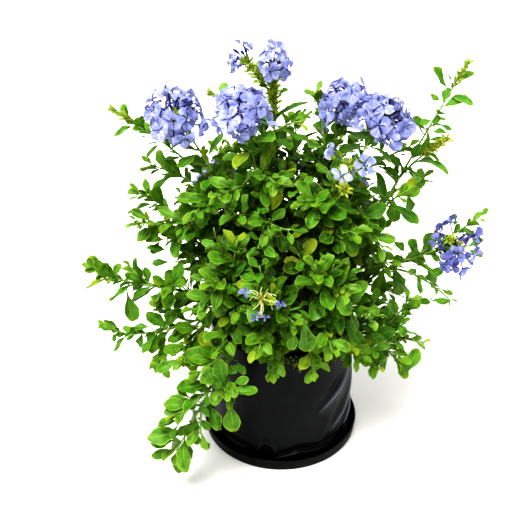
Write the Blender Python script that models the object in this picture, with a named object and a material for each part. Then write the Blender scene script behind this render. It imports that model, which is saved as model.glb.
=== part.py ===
"""A potted plumbago: leafy canes with pale blue flower heads, in a soft black grow bag on a saucer.

Sizes and places are in millimetres and add_object turns them into metres. +Z is up, the front is
towards -Y, and the origin is the centre of the saucer's flat underside.
"""

import math
import random
from collections import namedtuple

import bmesh
import bpy
from mathutils import Vector
from mathutils.bvhtree import BVHTree

# Driving dimensions
MM = 0.001
GAP = 0.3

SAUCER_RADIUS = 82.5
SAUCER_HEIGHT = 13.0
SAUCER_WALL = 2.2
SAUCER_FLARE = 3.0
SAUCER_FOOT_INSET = 4.0
SAUCER_SEGMENTS = 32

BAG_RADIUS = 72.5
BAG_HEIGHT = 140.0
BAG_WALL = 1.5
BAG_INNER = BAG_RADIUS - BAG_WALL - 1.0
BAG_TUCK = 7.5
BAG_TUCK_HEIGHT = 16.0
BAG_TUCK_FADE = 9.0
BAG_BULGE = 1.5
BAG_RINGS = (0.0, 5.0, 14.0, 46.0, 84.0, 122.0, BAG_HEIGHT)
BAG_SEGMENTS = 36
MIX_BELOW_RIM = 14.0
MIX_CROWN = 3.0
MIX_CROWN_SHARE = 0.6
MIX_SEGMENTS = 20

CANE_RADIUS = 2.2
SHOOT_RADIUS = 1.45
TIP_RADIUS = 1.15
CANE_DEPTH = 25.0
CANE_OUT = 0.30
CANE_UP = 0.66
CANE_ARCH = 0.12
SIDE_BEND = 0.45
SIDE_JOIN = 0.12
HOLE_CLEARANCE = 0.7
STEM_SIDES = 3
RING_SPACING = 42.0
STEM_CLEARANCE = 0.8
WANDER = 0.6
SHOOT_TRIES = 60

LEAF_LONGEST = 35.0
LEAF_YOUNGEST = 15.0
LEAF_GROWN_AT = 30.0
LEAF_THICKNESS = 1.2
LEAF_STEPS = (3, 7, 12, 18, 25, 33, 42, 52, 63, 75, 88, 102, 117)
LEAF_CLEARANCE = 0.4
LEAF_SIZES = (0.86, 1.08)
LEAF_LEAN = 32
LEAF_LEAN_GROWN = 34
LEAF_LEAN_SPREAD = 8
LEAF_OUTWARD = 0.25
LEAF_TRIES = 14
LEAF_TURN_STEP = 0.38
LEAF_SHRINK = 0.025
LOWEST_LEAF = 4.0
LEAVES_ON_MAIN = 9
LEAVES_ON_SIDE = 8
BARE_TIP = {"leaves": 0, "buds": 14, "calyces": 20}
BARE_UNDER_BLOOM = 12
LEAFY_SHARE_OF_MAIN = 0.62
LEAFY_SHARE_OF_SIDE = 0.86
BUSH_RADIUS = 90.0
GOLDEN_TURN = math.radians(137.5)

FLORET_RADIUS = 11.2
FLORET_REACH = 26.0
FLORET_THICKNESS = 1.4
FLORET_CLEARANCE = 0.25
FLORET_REACHES = (0.9, 1.12)
FLORET_TRIES = 70
FLORET_TURN_STEP = 0.09
FLORET_TILT_STEP = 0.012
FLORET_SHRINK = 0.005
LOBE_CLEFT = 0.42
LOBE_HALF_ANGLE = math.radians(19)
TUBE_RADIUS = 0.8
HUB_RADIUS = 3.4

BUDS = {"buds": 7, "calyces": 9}
BUD_LENGTH = 8.0
BUD_LENGTHS = (0.85, 1.15)
BUD_RADIUS = 1.2
BUD_FIRST = 1.5
BUD_SPACING = 3.2
BUD_LEAN = 28
BUD_LEAN_STEP = 3
CALYX_LEAN = 62

# Each cane: where it leaves the mix, the tip of its main shoot, what ends it, and its side shoots,
# each with the share of the main shoot where it starts. A shoot's size is that of its leaves. The
# points were chosen by hand so that the rosettes cover the bush as in the photograph.
Cane = namedtuple("Cane", "name foot tip end sides via size", defaults=((), 1.0))
Side = namedtuple("Side", "share tip end size", defaults=("leaves", 1.0))
CANES = (
    Cane("cane_left_bloom", (-20, -2), (-100, -10, 368), "bloom_left", (
        Side(0.52, (-160, 2, 374), "buds", 0.8), Side(0.48, (-130, 28, 302)), Side(0.42, (-118, -25, 264)),
        Side(0.55, (-84, -52, 292)))),
    Cane("cane_left", (-32, 4), (-142, 10, 282), "leaves", (
        Side(0.55, (-140, -32, 272)), Side(0.45, (-126, 24, 230)), Side(0.30, (-94, 40, 182)))),
    Cane("cane_left_long", (-38, -10), (-184, -40, 228), "leaves", (
        Side(0.60, (-150, -22, 214)), Side(0.45, (-104, -66, 224))),
        ((-66, -18, 205), (-150, -34, 186))),
    Cane("cane_left_low", (-42, -24), (-176, -60, 172), "leaves", (
        Side(0.60, (-118, -76, 136), "leaves", 1.2), Side(0.45, (-122, -42, 186)),
        Side(0.30, (-88, -72, 160), "leaves", 1.1), Side(0.38, (-95, -95, 154))),
        ((-60, -34, 205), (-124, -60, 132)), 0.85),
    Cane("cane_trailing", (-30, -36), (-105, -115, 60), "leaves", (
        Side(0.40, (-57, -116, 137), "leaves", 1.35), Side(0.62, (-104, -124, 112), "leaves", 1.2),
        Side(0.70, (-80, -124, 88), "leaves", 1.2), Side(0.34, (-82, -112, 152), "leaves", 1.2)),
        ((-36, -72, 206), (-76, -130, 128)), 1.4),
    Cane("cane_front_left", (-22, -22), (-66, -100, 250), "leaves", (
        Side(0.55, (-84, -84, 206)), Side(0.40, (-60, -108, 176)), Side(0.62, (-44, -84, 284)),
        Side(0.50, (-40, -108, 222)))),
    Cane("cane_front_bloom", (-8, -34), (-21, -118, 244), "bloom_front", (
        Side(0.45, (-24, -122, 186)), Side(0.55, (10, -116, 214)), Side(0.26, (-10, -108, 148)))),
    Cane("cane_front_right", (14, -38), (54, -108, 246), "leaves", (
        Side(0.55, (84, -92, 204)), Side(0.42, (44, -118, 184)), Side(0.60, (26, -102, 270)),
        Side(0.26, (28, -110, 150)), Side(0.34, (74, -92, 156)))),
    Cane("cane_right_low", (40, -28), (140, -60, 150), "leaves", (
        Side(0.45, (113, -74, 140), "leaves", 1.15), Side(0.60, (122, -52, 200)),
        Side(0.32, (90, -84, 138), "leaves", 1.1)), (), 0.8),
    Cane("cane_right_bloom", (44, -8), (163, -25, 239), "bloom_far_right", (
        Side(0.75, (190, -18, 272), "leaves", 0.75), Side(0.60, (166, -40, 186), "leaves", 0.62),
        Side(0.40, (112, -14, 178)))),
    Cane("cane_right_tall", (34, 2), (164, 0, 420), "buds", (
        Side(0.62, (151, -12, 351), "calyces", 0.85), Side(0.46, (108, -34, 304)),
        Side(0.54, (138, 14, 296), "leaves", 0.8), Side(0.36, (100, 10, 238))),
        ((92, 0, 263),), 0.62),
    Cane("cane_right_bloom_outer", (24, -12), (88, -14, 366), "bloom_right_outer", (
        Side(0.62, (122, 20, 326)), Side(0.48, (92, -62, 262)), Side(0.35, (100, -46, 234)))),
    Cane("cane_right_bloom_inner", (18, 8), (57, 15, 367), "bloom_right_inner", (
        Side(0.66, (30, 40, 372)), Side(0.55, (74, 48, 318)))),
    Cane("cane_pale_bloom", (12, -20), (56, -56, 343), "bloom_pale", (
        Side(0.66, (16, -70, 318)), Side(0.52, (66, -76, 286)), Side(0.42, (14, -90, 240)))),
    Cane("cane_centre_bloom", (-10, -14), (-37, -34, 383), "bloom_centre", (
        Side(0.60, (-62, -64, 318)), Side(0.66, (-8, -62, 330)), Side(0.50, (-14, -84, 290)))),
    Cane("cane_top_bloom", (-6, 6), (-11, 20, 404), "bloom_top_right", (
        Side(0.84, (-31, 24, 407), "bloom_top_left"), Side(0.62, (-70, 30, 378), "buds"),
        Side(0.70, (18, 2, 362)), Side(0.55, (-52, 24, 322)))),
    Cane("cane_back_left", (-20, 26), (-66, 104, 236), "bloom_back_left", (
        Side(0.55, (-104, 66, 244)), Side(0.40, (-74, 98, 190)), Side(0.58, (-64, 66, 300)))),
    Cane("cane_back", (-4, 38), (-12, 118, 240), "leaves", (
        Side(0.50, (14, 112, 186)), Side(0.60, (-22, 92, 296)), Side(0.34, (-34, 112, 156)))),
    Cane("cane_back_right", (22, 30), (68, 104, 234), "bloom_back_right", (
        Side(0.52, (112, 62, 244)), Side(0.40, (80, 92, 188)), Side(0.60, (38, 98, 288)))),
    Cane("cane_back_top", (6, 20), (14, 72, 330), "leaves", (
        Side(0.60, (-34, 76, 322)), Side(0.55, (60, 82, 300)), Side(0.45, (0, 92, 262)))),
)

# Each flower head: its florets, the way it faces, how far round its hub they spread in degrees, their
# reach and size, and the share of that spread which is left bare in its middle
Bloom = namedtuple("Bloom", "florets facing spread reach size bare", defaults=(FLORET_REACH, 1.0, 0.0))
BLOOMS = {
    "bloom_left": Bloom(12, (-0.1, -0.5, 0.9), 112, bare=0.14),
    "bloom_centre": Bloom(13, (-0.1, -0.4, 1.0), 112, 25.0),
    "bloom_top_left": Bloom(3, (-0.9, -0.2, 0.6), 60, 20.0, 0.9),
    "bloom_top_right": Bloom(4, (0.5, -0.3, 1.0), 70, 20.0),
    "bloom_right_inner": Bloom(11, (-0.5, -0.1, 1.0), 102, 25.0),
    "bloom_right_outer": Bloom(11, (0.5, -0.5, 0.8), 102, 25.0),
    "bloom_pale": Bloom(3, (-0.1, -0.9, 0.4), 88, 19.0, 0.95),
    "bloom_far_right": Bloom(8, (0.1, -0.5, 0.8), 110, 24.0, 0.95, 0.2),
    "bloom_front": Bloom(4, (0.1, -1.0, 0.1), 84, 20.0, 0.7),
    "bloom_back_left": Bloom(8, (-0.3, 0.8, 0.8), 96, 25.0),
    "bloom_back_right": Bloom(8, (0.3, 0.8, 0.8), 96, 25.0),
}

# Half width of a leaf along it, both as shares of its length, and where its rib is thickest
LEAF_OUTLINE = ((0.62, 0.20), (0.88, 0.16))
LEAF_SUNK = 0.4
LEAF_NECK = 2.5
LEAF_NECK_SIZE = 1.3
LEAF_RIB = 0.66
LEAF_FOLD = 0.35
LEAF_DROOP = 0.10

# The bag's pleats: the bearing of each at the rim and how far it leans round towards the foot
PLEATS = ((-18, -44), (2, -46), (22, -40), (120, -26), (98, -30))
PLEAT_DEPTH = 2.0
PLEAT_WIDTH = 6.0
PLEAT_FADE = 30.0


def material(name, red, green, blue, roughness):
    """A plain material of this colour."""
    made = bpy.data.materials.new(name)
    made.use_nodes = True
    shader = made.node_tree.nodes["Principled BSDF"]
    shader.inputs["Base Color"].default_value = (red, green, blue, 1.0)
    shader.inputs["Roughness"].default_value = roughness
    return made


def add_object(name, points, faces, finish=None):
    """An object with this mesh, turned from millimetres to metres."""
    mesh = bpy.data.meshes.new(name)
    mesh.from_pydata([Vector(point) * MM for point in points], [], faces)
    made = bpy.data.objects.new(name, mesh)
    if finish:
        mesh.materials.append(finish)
        bpy.context.scene.collection.objects.link(made)
    return made


def add_shape(name, shape, finish):
    """An object from this closed bmesh, turned from millimetres to metres, its faces facing out."""
    bmesh.ops.recalc_face_normals(shape, faces=shape.faces)
    bmesh.ops.scale(shape, verts=shape.verts, vec=(MM, MM, MM))
    mesh = bpy.data.meshes.new(name)
    shape.to_mesh(mesh)
    shape.free()
    mesh.materials.append(finish)
    made = bpy.data.objects.new(name, mesh)
    bpy.context.scene.collection.objects.link(made)
    return made


def join(name, pieces, finish):
    """The Boolean union of closed pieces that overlap, as one object. Each piece is (points, faces)."""
    whole = add_object(name, *pieces[0], finish)
    others = bpy.data.collections.new(name + "_pieces")
    for points, faces in pieces[1:]:
        others.objects.link(add_object(name + "_piece", points, faces))
    union = whole.modifiers.new("Union", "BOOLEAN")
    union.operation = "UNION"
    union.operand_type = "COLLECTION"
    union.collection = others
    with bpy.context.temp_override(object=whole):
        bpy.ops.object.modifier_apply(modifier=union.name)
    for piece in list(others.objects):
        bpy.data.objects.remove(piece)
    bpy.data.collections.remove(others)
    return whole


def cut(whole, cutters):
    """Takes the cutters, each (points, faces), out of the object."""
    tools = bpy.data.collections.new(whole.name + "_cutters")
    for points, faces in cutters:
        tools.objects.link(add_object(whole.name + "_cutter", points, faces))
    difference = whole.modifiers.new("Holes", "BOOLEAN")
    difference.operation = "DIFFERENCE"
    difference.operand_type = "COLLECTION"
    difference.collection = tools
    with bpy.context.temp_override(object=whole):
        bpy.ops.object.modifier_apply(modifier=difference.name)
    for tool in list(tools.objects):
        bpy.data.objects.remove(tool)
    bpy.data.collections.remove(tools)


# Saucer, bag and mix

def turned(name, profile, segments, finish):
    """A solid turned round the Z axis from a profile of (radius, height), both ends on the axis."""
    shape = bmesh.new()
    corners = [shape.verts.new((radius, 0.0, height)) for radius, height in profile]
    edges = [shape.edges.new(pair) for pair in zip(corners, corners[1:])]
    bmesh.ops.spin(shape, geom=corners + edges, cent=(0, 0, 0), axis=(0, 0, 1),
                   angle=math.tau, steps=segments, use_merge=True)
    bmesh.ops.remove_doubles(shape, verts=shape.verts, dist=0.01)
    return add_shape(name, shape, finish)


def saucer():
    """A round moulded saucer with a low flared rim."""
    rim, wall, top = SAUCER_RADIUS, SAUCER_WALL, SAUCER_HEIGHT
    inside = rim - wall
    profile = [(0, 0), (rim - SAUCER_FOOT_INSET, 0), (rim - SAUCER_FLARE, SAUCER_FLARE), (rim, top),
               (inside, top), (inside - SAUCER_FLARE, 2 * wall), (inside - SAUCER_FOOT_INSET, wall),
               (0, wall)]
    return turned("saucer", profile, SAUCER_SEGMENTS, material("saucer_black", 0.02, 0.02, 0.022, 0.45))


def bag_radius(bearing, height):
    """The film's outer radius at this bearing in degrees and height above the bag's foot."""
    share = height / BAG_HEIGHT
    radius = BAG_RADIUS - BAG_TUCK * math.exp(-height / BAG_TUCK_FADE) + BAG_BULGE * math.sin(math.pi * share)
    for at_rim, lean in PLEATS:
        off = (bearing - at_rim - lean * (1 - share) + 180) % 360 - 180
        radius += PLEAT_DEPTH * math.exp(-((off / PLEAT_WIDTH) ** 2)) * min(1.0, height / PLEAT_FADE)
    return radius


def grow_bag(foot):
    """A soft bag of black film: pleated outside, tucked in at its foot, open at the top."""
    bearings = [360.0 * i / BAG_SEGMENTS for i in range(BAG_SEGMENTS)]
    rings = [[(bag_radius(bearing, height), height) for bearing in bearings] for height in BAG_RINGS]
    inside = ((BAG_INNER, BAG_HEIGHT), (BAG_INNER, BAG_TUCK_HEIGHT), (BAG_INNER - BAG_TUCK, BAG_WALL))
    rings += [[corner] * BAG_SEGMENTS for corner in inside]
    points = []
    for ring in rings:
        for bearing, (radius, height) in zip(bearings, ring):
            angle = math.radians(bearing)
            points.append((radius * math.cos(angle), radius * math.sin(angle), foot + height))
    points += [(0, 0, foot), (0, 0, foot + BAG_WALL)]
    faces = []
    for i in range(BAG_SEGMENTS):
        j = (i + 1) % BAG_SEGMENTS
        for low in range(0, (len(rings) - 1) * BAG_SEGMENTS, BAG_SEGMENTS):
            faces.append((low + i, low + j, low + BAG_SEGMENTS + j, low + BAG_SEGMENTS + i))
        last = (len(rings) - 1) * BAG_SEGMENTS
        faces += [(len(points) - 2, j, i), (last + i, last + j, len(points) - 1)]
    return add_object("grow_bag", points, faces, material("bag_film", 0.012, 0.012, 0.013, 0.35))


def potting_mix(foot, feet):
    """The mix that fills the bag, with a plain hole for each cane."""
    outer = BAG_INNER * math.cos(math.pi / BAG_SEGMENTS) - GAP
    top = foot + BAG_HEIGHT - MIX_BELOW_RIM
    floor = foot + BAG_WALL + GAP
    profile = [(0, floor), (outer - BAG_TUCK, floor), (outer, foot + BAG_TUCK_HEIGHT + GAP),
               (outer, top - MIX_CROWN), (MIX_CROWN_SHARE * outer, top), (0, top)]
    mix = turned("potting_mix", profile, MIX_SEGMENTS, material("mix", 0.05, 0.03, 0.018, 0.95))
    radii = [CANE_RADIUS + HOLE_CLEARANCE] * 2
    cut(mix, [tube([(x, y, top - CANE_DEPTH - 1.0), (x, y, top + 5.0)], radii) for x, y in feet])
    return mix


# Growth: the shoots, and the space that each new piece has to leave to the others

def bend(controls, share):
    """The point at this share of the smooth curve that the control points set."""
    points = list(controls)
    while len(points) > 1:
        points = [first.lerp(second, share) for first, second in zip(points, points[1:])]
    return points[0]


def heading(controls, share):
    """The curve's direction at this share of it."""
    return (bend(controls, min(1.0, share + 0.02)) - bend(controls, max(0.0, share - 0.02))).normalized()


def run_length(controls):
    """The curve's length."""
    points = [bend(controls, i / 20) for i in range(21)]
    return sum((second - first).length for first, second in zip(points, points[1:]))


def square_to(along, towards):
    """The unit vector square to along that leans most towards the other."""
    across = Vector(towards) - along * along.dot(Vector(towards))
    if across.length < 0.05:
        across = along.orthogonal()
    return across.normalized()


def tube(points, radii):
    """A closed tube through the points, with these radii."""
    points = [Vector(point) for point in points]
    along = (points[1] - points[0]).normalized()
    across = square_to(along, (1.0, 0.3, 0.0))
    made = []
    for i, (point, radius) in enumerate(zip(points, radii)):
        along = (points[min(i + 1, len(points) - 1)] - points[max(i - 1, 0)]).normalized()
        across = square_to(along, across)
        other = along.cross(across)
        for side in range(STEM_SIDES):
            angle = math.tau * side / STEM_SIDES
            made.append(point + radius * (math.cos(angle) * across + math.sin(angle) * other))
    faces = []
    for low in range(0, len(made) - STEM_SIDES, STEM_SIDES):
        for side in range(STEM_SIDES):
            following = (side + 1) % STEM_SIDES
            faces.append((low + side, low + following, low + STEM_SIDES + following))
            faces.append((low + side, low + STEM_SIDES + following, low + STEM_SIDES + side))
    last = len(made) - STEM_SIDES
    for side in range(1, STEM_SIDES - 1):
        faces.append((0, side + 1, side))
        faces.append((last, last + side, last + side + 1))
    return made, faces


class Space:
    """What stands where already, so that a new piece can be kept clear of it."""

    def __init__(self):
        self.taken = []

    def fill(self, owner, piece):
        points, faces = piece
        centre = sum(points, Vector()) / len(points)
        reach = max((point - centre).length for point in points)
        self.taken.append((owner, centre, reach, BVHTree.FromPolygons(points, faces)))

    def is_clear(self, piece, beside=()):
        """True where the piece meets nothing but its named neighbours."""
        points, faces = piece
        centre = sum(points, Vector()) / len(points)
        reach = max((point - centre).length for point in points)
        tree = BVHTree.FromPolygons(points, faces)
        for owner, other_centre, other_reach, other_tree in self.taken:
            if owner in beside or (centre - other_centre).length > reach + other_reach:
                continue
            if tree.overlap(other_tree):
                return False
        return True


Shoot = namedtuple("Shoot", "cane label controls length radius end size", defaults=(1.0,))


def stem_point(shoot, share):
    """The point on the middle line of the shoot's straight-sided tube at this share of it."""
    steps = max(2, round(shoot.length / RING_SPACING))
    step = min(int(share * steps), steps - 1)
    low, high = (bend(shoot.controls, i / steps) for i in (step, step + 1))
    return low.lerp(high, share * steps - step)


def shoot_tube(shoot, extra=0.0, start=0.0):
    """The shoot's tube, thinner towards its tip."""
    steps = max(2, round(shoot.length / RING_SPACING))
    shares = [start] + [i / steps for i in range(steps + 1) if i / steps > start]
    points = [stem_point(shoot, share) for share in shares]
    radii = [extra + shoot.radius + (TIP_RADIUS - shoot.radius) * share for share in shares]
    if shoot.label == "main" and not extra:
        points.insert(0, points[0] - Vector((0, 0, CANE_DEPTH)))
        radii.insert(0, shoot.radius)
    return tube(points, radii)


def grow_shoot(space, draws, cane, label, controls, radius, end, size, beside, start):
    """The first version of the shoot, with its middle moved a little each time, that meets nothing."""
    for attempt in range(SHOOT_TRIES):
        wander = WANDER * attempt
        moved = [controls[0]] + [
            point + Vector([draws.uniform(-wander, wander) for _ in range(3)]) for point in controls[1:-1]
        ] + [controls[-1]]
        shoot = Shoot(cane, label, moved, run_length(moved), radius, end, size)
        if space.is_clear(shoot_tube(shoot, STEM_CLEARANCE, start), beside):
            break
    else:
        print("no clear way for", cane, label)
    space.fill(cane + label, shoot_tube(shoot, GAP / 3))
    return shoot


def grow_shoots(space, mix_top):
    """Every cane's main shoot, then every side shoot, each clear of those before it."""
    mains = {}
    for cane in CANES:
        draws = random.Random(cane.name)
        foot = Vector((*cane.foot, mix_top))
        tip = Vector(cane.tip)
        out = tip - foot
        arch = CANE_ARCH * math.hypot(out.x, out.y)
        middle = foot + Vector((CANE_OUT * out.x, CANE_OUT * out.y, CANE_UP * out.z + arch))
        controls = [foot] + ([Vector(point) for point in cane.via] or [middle]) + [tip]
        mains[cane.name] = grow_shoot(
            space, draws, cane.name, "main", controls, CANE_RADIUS, cane.end, cane.size,
            ("potting_mix",), 0.0)
    shoots = list(mains.values())
    for cane in CANES:
        draws = random.Random(cane.name + " sides")
        for number, side in enumerate(cane.sides):
            main = mains[cane.name]
            start = stem_point(main, side.share)
            tip = Vector(side.tip)
            out = tip - start
            leave = (heading(main.controls, side.share) + out.normalized()).normalized()
            controls = [start, start + SIDE_BEND * out.length * leave, tip]
            shoots.append(grow_shoot(
                space, draws, cane.name, f"side{number}", controls, SHOOT_RADIUS, side.end,
                side.size, (cane.name + "main",), SIDE_JOIN))
    return shoots


# Leaves, buds and florets, each as points and faces

def leaf(root, along, up, length, extra=0.0):
    """A blade from the middle of its stem: a short three-sided neck, widest past its middle, folded up
    along its rib and drooping to its tip. With extra size it is for a test, and starts off its stem."""
    across = along.cross(up)

    def place(run, width, lift):
        sag = LEAF_DROOP * run * run / length
        return root + along * run + across * width + up * (lift - sag)

    neck, half = LEAF_NECK_SIZE / 2 + extra, LEAF_THICKNESS / 2 + extra
    points = [place(LEAF_NECK - 0.6 if extra else -LEAF_SUNK, 0.0, 0.0)]
    for side in (1, -1):
        points.append(place(LEAF_NECK, side * neck, -neck / 2))
        for share, width in LEAF_OUTLINE:
            wide = width * length
            points.append(place(share * length, side * (wide + extra), LEAF_FOLD * wide))
    steps = len(LEAF_OUTLINE) + 1
    tip, top_neck, top_rib, low_rib = range(1 + 2 * steps, 5 + 2 * steps)
    points += [place(length, 0.0, 0.0), place(LEAF_NECK, 0.0, neck), place(LEAF_RIB * length, 0.0, half),
               place(LEAF_RIB * length, 0.0, -half)]
    faces = [(0, 1 + steps, 1), (1, 1 + steps, low_rib)]
    for first, turn in ((1, 1), (1 + steps, -1)):
        edge = list(range(first, first + steps)) + [tip]
        found = [(0, edge[0], top_neck), (top_neck, edge[0], edge[1]), (top_neck, edge[1], top_rib)]
        found += [(top_rib, start, end) for start, end in zip(edge[1:], edge[2:])]
        found += [(low_rib, end, start) for start, end in zip(edge, edge[1:])]
        faces += [triple[::turn] for triple in found]
    return points, faces


def bud(root, along, length, radius):
    """A slim pointed bud or dry calyx with three sides."""
    across = along.orthogonal().normalized()
    other = along.cross(across)
    points = [root, root + along * length]
    for side in range(3):
        angle = math.tau * side / 3
        out = math.cos(angle) * across + math.sin(angle) * other
        points.append(root + 0.4 * length * along + radius * out)
    faces = []
    for side in range(3):
        here, following = 2 + side, 2 + (side + 1) % 3
        faces += [(0, following, here), (1, here, following)]
    return points, faces


def floret(hub, along, reach, spin, radius=FLORET_RADIUS, extra=0.0):
    """A corolla: a slim tube from the hub that opens into five round lobes. Its first three points
    are the tube's foot, which is left open for the hub."""
    across = square_to(along, (math.cos(spin), math.sin(spin), 0.2))
    other = along.cross(across)

    def place(out, radius, angle):
        return hub + along * out + radius * (math.cos(angle) * across + math.sin(angle) * other)

    points = []
    for out in (HUB_RADIUS, reach - FLORET_THICKNESS - extra):
        points += [place(out, TUBE_RADIUS + extra, math.tau * side / 3) for side in range(3)]
    rim = len(points)
    for lobe in range(5):
        middle = math.tau * lobe / 5
        points.append(place(reach - GAP, LOBE_CLEFT * radius, middle - math.tau / 10))
        points.append(place(reach, radius + extra, middle - LOBE_HALF_ANGLE))
        points.append(place(reach, radius + extra, middle + LOBE_HALF_ANGLE))
    points.append(place(reach + GAP + extra, 0.0, 0.0))
    top = len(points) - 1
    count = top - rim
    faces = []
    for i in range(count):
        j = (i + 1) % count
        near, nearer = 3 + i * 3 // count, 3 + (i + 1) * 3 // count % 3
        faces += [(top, rim + i, rim + j), (near, rim + j, rim + i)]
        if near != nearer:
            faces.append((near, nearer, rim + j))
    for side in range(3):
        following = (side + 1) % 3
        faces += [(side, following, 3 + following), (side, 3 + following, 3 + side)]
    return points, faces


def grow_bloom(space, shoot, finish):
    """The flower head at the end of a shoot: florets on a hub, which is the hull of their feet."""
    bloom = BLOOMS[shoot.end]
    draws = random.Random(shoot.end)
    steps = max(2, round(shoot.length / RING_SPACING))
    along = (shoot.controls[-1] - bend(shoot.controls, 1 - 1 / steps)).normalized()
    centre = shoot.controls[-1] + along * (HUB_RADIUS + GAP)
    facing = Vector(bloom.facing).normalized()
    across = facing.orthogonal().normalized()
    other = facing.cross(across)
    shape = bmesh.new()
    feet = [shape.verts.new(centre - along * HUB_RADIUS)]
    for number in range(bloom.florets):
        open_share = bloom.bare + (1 - bloom.bare) * (number + 0.5) / bloom.florets
        from_axis = math.acos(1 - (1 - math.cos(math.radians(bloom.spread))) * open_share)
        reach = bloom.reach * draws.uniform(*FLORET_REACHES)
        spin = draws.uniform(0, math.tau)
        for attempt in range(FLORET_TRIES):
            turn = GOLDEN_TURN * number + FLORET_TURN_STEP * attempt * (-1) ** attempt
            out = from_axis + FLORET_TILT_STEP * attempt * (-1) ** (attempt // 2)
            way = (math.cos(out) * facing
                   + math.sin(out) * (math.cos(turn) * across + math.sin(turn) * other))
            radius = FLORET_RADIUS * bloom.size * (1 - FLORET_SHRINK * attempt)
            if space.is_clear(floret(centre, way, reach, spin, radius, FLORET_CLEARANCE)):
                break
        else:
            print("no clear place for floret", number, "of", shoot.end)
            continue
        points, faces = floret(centre, way, reach, spin, radius)
        space.fill(shoot.end, (points, faces))
        corners = [shape.verts.new(point) for point in points]
        feet += corners[:3]
        for face in faces:
            shape.faces.new([corners[i] for i in face])
    bmesh.ops.convex_hull(shape, input=feet)
    for first in range(1, len(feet), 3):
        shape.faces.remove(shape.faces.get(feet[first:first + 3]))
    return add_shape(shoot.end, shape, finish)


def grow_buds(space, shoot):
    """The pointed buds or dry calyces along the last stretch of a shoot."""
    draws = random.Random(shoot.cane + shoot.label + " buds")
    pieces = []
    for number in range(BUDS[shoot.end]):
        share = 1.0 - (BUD_FIRST + BUD_SPACING * number) / shoot.length
        along = heading(shoot.controls, share)
        side = square_to(along, (1, 0, 0))
        other = along.cross(side)
        turn = GOLDEN_TURN * number
        lean = math.radians(BUD_LEAN + BUD_LEAN_STEP * number if shoot.end == "buds" else CALYX_LEAN)
        way = math.cos(lean) * along + math.sin(lean) * (math.cos(turn) * side + math.sin(turn) * other)
        made = bud(stem_point(shoot, share), way, BUD_LENGTH * draws.uniform(*BUD_LENGTHS), BUD_RADIUS)
        if space.is_clear(made, (shoot.cane + shoot.label,)):
            pieces.append(made)
    for piece in pieces:
        space.fill(shoot.cane, piece)
    return pieces


def grow_leaf(space, shoot, number):
    """The leaf at this step back from the tip, turned until it meets nothing, or None."""
    draws = random.Random(f"{shoot.cane} {shoot.label} {number}")
    back = LEAF_STEPS[number]
    share = 1.0 - back / shoot.length
    along = heading(shoot.controls, share)
    root = stem_point(shoot, share)
    side = square_to(along, (0, 0, 1) if abs(along.z) < 0.7 else (1, 0, 0))
    other = along.cross(side)
    grown = min(1.0, back / LEAF_GROWN_AT)
    usual = LEAF_YOUNGEST + (LEAF_LONGEST - LEAF_YOUNGEST) * grown
    longest = shoot.size * usual * draws.uniform(*LEAF_SIZES)
    spread = draws.uniform(-LEAF_LEAN_SPREAD, LEAF_LEAN_SPREAD)
    lean = math.radians(LEAF_LEAN + LEAF_LEAN_GROWN * grown + spread)
    outward = Vector((root.x, root.y, 0)) / BUSH_RADIUS
    for attempt in range(LEAF_TRIES):
        turn = GOLDEN_TURN * number + LEAF_TURN_STEP * ((attempt + 1) // 2) * (-1) ** attempt
        length = longest * (1 - LEAF_SHRINK * attempt)
        way = math.cos(lean) * along + math.sin(lean) * (math.cos(turn) * side + math.sin(turn) * other)
        way = (way + LEAF_OUTWARD * outward).normalized()
        up = square_to(way, Vector((0, 0, 1)) + 0.6 * along + 0.3 * outward)
        tested = leaf(root, way, up, length, LEAF_CLEARANCE)
        if min(point.z for point in tested[0]) < LOWEST_LEAF:
            continue
        if space.is_clear(tested, (shoot.cane + shoot.label,)):
            space.fill(shoot.cane, leaf(root, way, up, length))
            return leaf(root, way, up, length)
    return None


def grow_leaves(space, shoot):
    """Every second leaf of a shoot, from near its tip to where it goes into the bush."""
    bare = BARE_TIP.get(shoot.end, BARE_UNDER_BLOOM)
    reach = (LEAFY_SHARE_OF_MAIN if shoot.label == "main" else LEAFY_SHARE_OF_SIDE) * shoot.length
    limit = LEAVES_ON_MAIN if shoot.label == "main" else LEAVES_ON_SIDE
    found = []
    for number in range(1, limit + 1, 2):
        if bare <= LEAF_STEPS[number] <= reach:
            made = grow_leaf(space, shoot, number)
            if made:
                found.append(made)
    return found


def build():
    """Makes the whole plant in its bag."""
    for old in list(bpy.data.objects):
        bpy.data.objects.remove(old)
    foot = SAUCER_WALL + GAP
    mix_top = foot + BAG_HEIGHT - MIX_BELOW_RIM
    green = material("leaf_green", 0.10, 0.26, 0.03, 0.5)
    blue = material("petal_blue", 0.36, 0.42, 0.80, 0.6)
    space = Space()
    for solid in (saucer(), grow_bag(foot), potting_mix(foot, [cane.foot for cane in CANES])):
        points = [corner.co / MM for corner in solid.data.vertices]
        space.fill(solid.name, (points, [tuple(face.vertices) for face in solid.data.polygons]))
    shoots = grow_shoots(space, mix_top)
    for shoot in shoots:
        if shoot.end in BLOOMS:
            grow_bloom(space, shoot, blue)
    growth = {cane.name: [] for cane in CANES}
    for shoot in shoots:
        growth[shoot.cane].append(shoot_tube(shoot))
        if shoot.end in ("buds", "calyces"):
            growth[shoot.cane] += grow_buds(space, shoot)
    for shoot in shoots:
        growth[shoot.cane] += grow_leaves(space, shoot)
    for name, pieces in growth.items():
        join(name, pieces, green)


build()
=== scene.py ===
"""Potted plumbago: dresses the packed plant with fine leaves, flower heads, a film bag, a moulded
saucer and crumbly potting mix.

Sizes and places are in millimetres, in the packed model's frame, and Batch.make turns them into
metres. +Z is up, the front is towards -Y, and the origin is the centre of the saucer's flat
underside. The tables, seeds and rules of growth are those of the packed model, so that each fine
stem, leaf and corolla stands where its solid is.
"""

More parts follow.
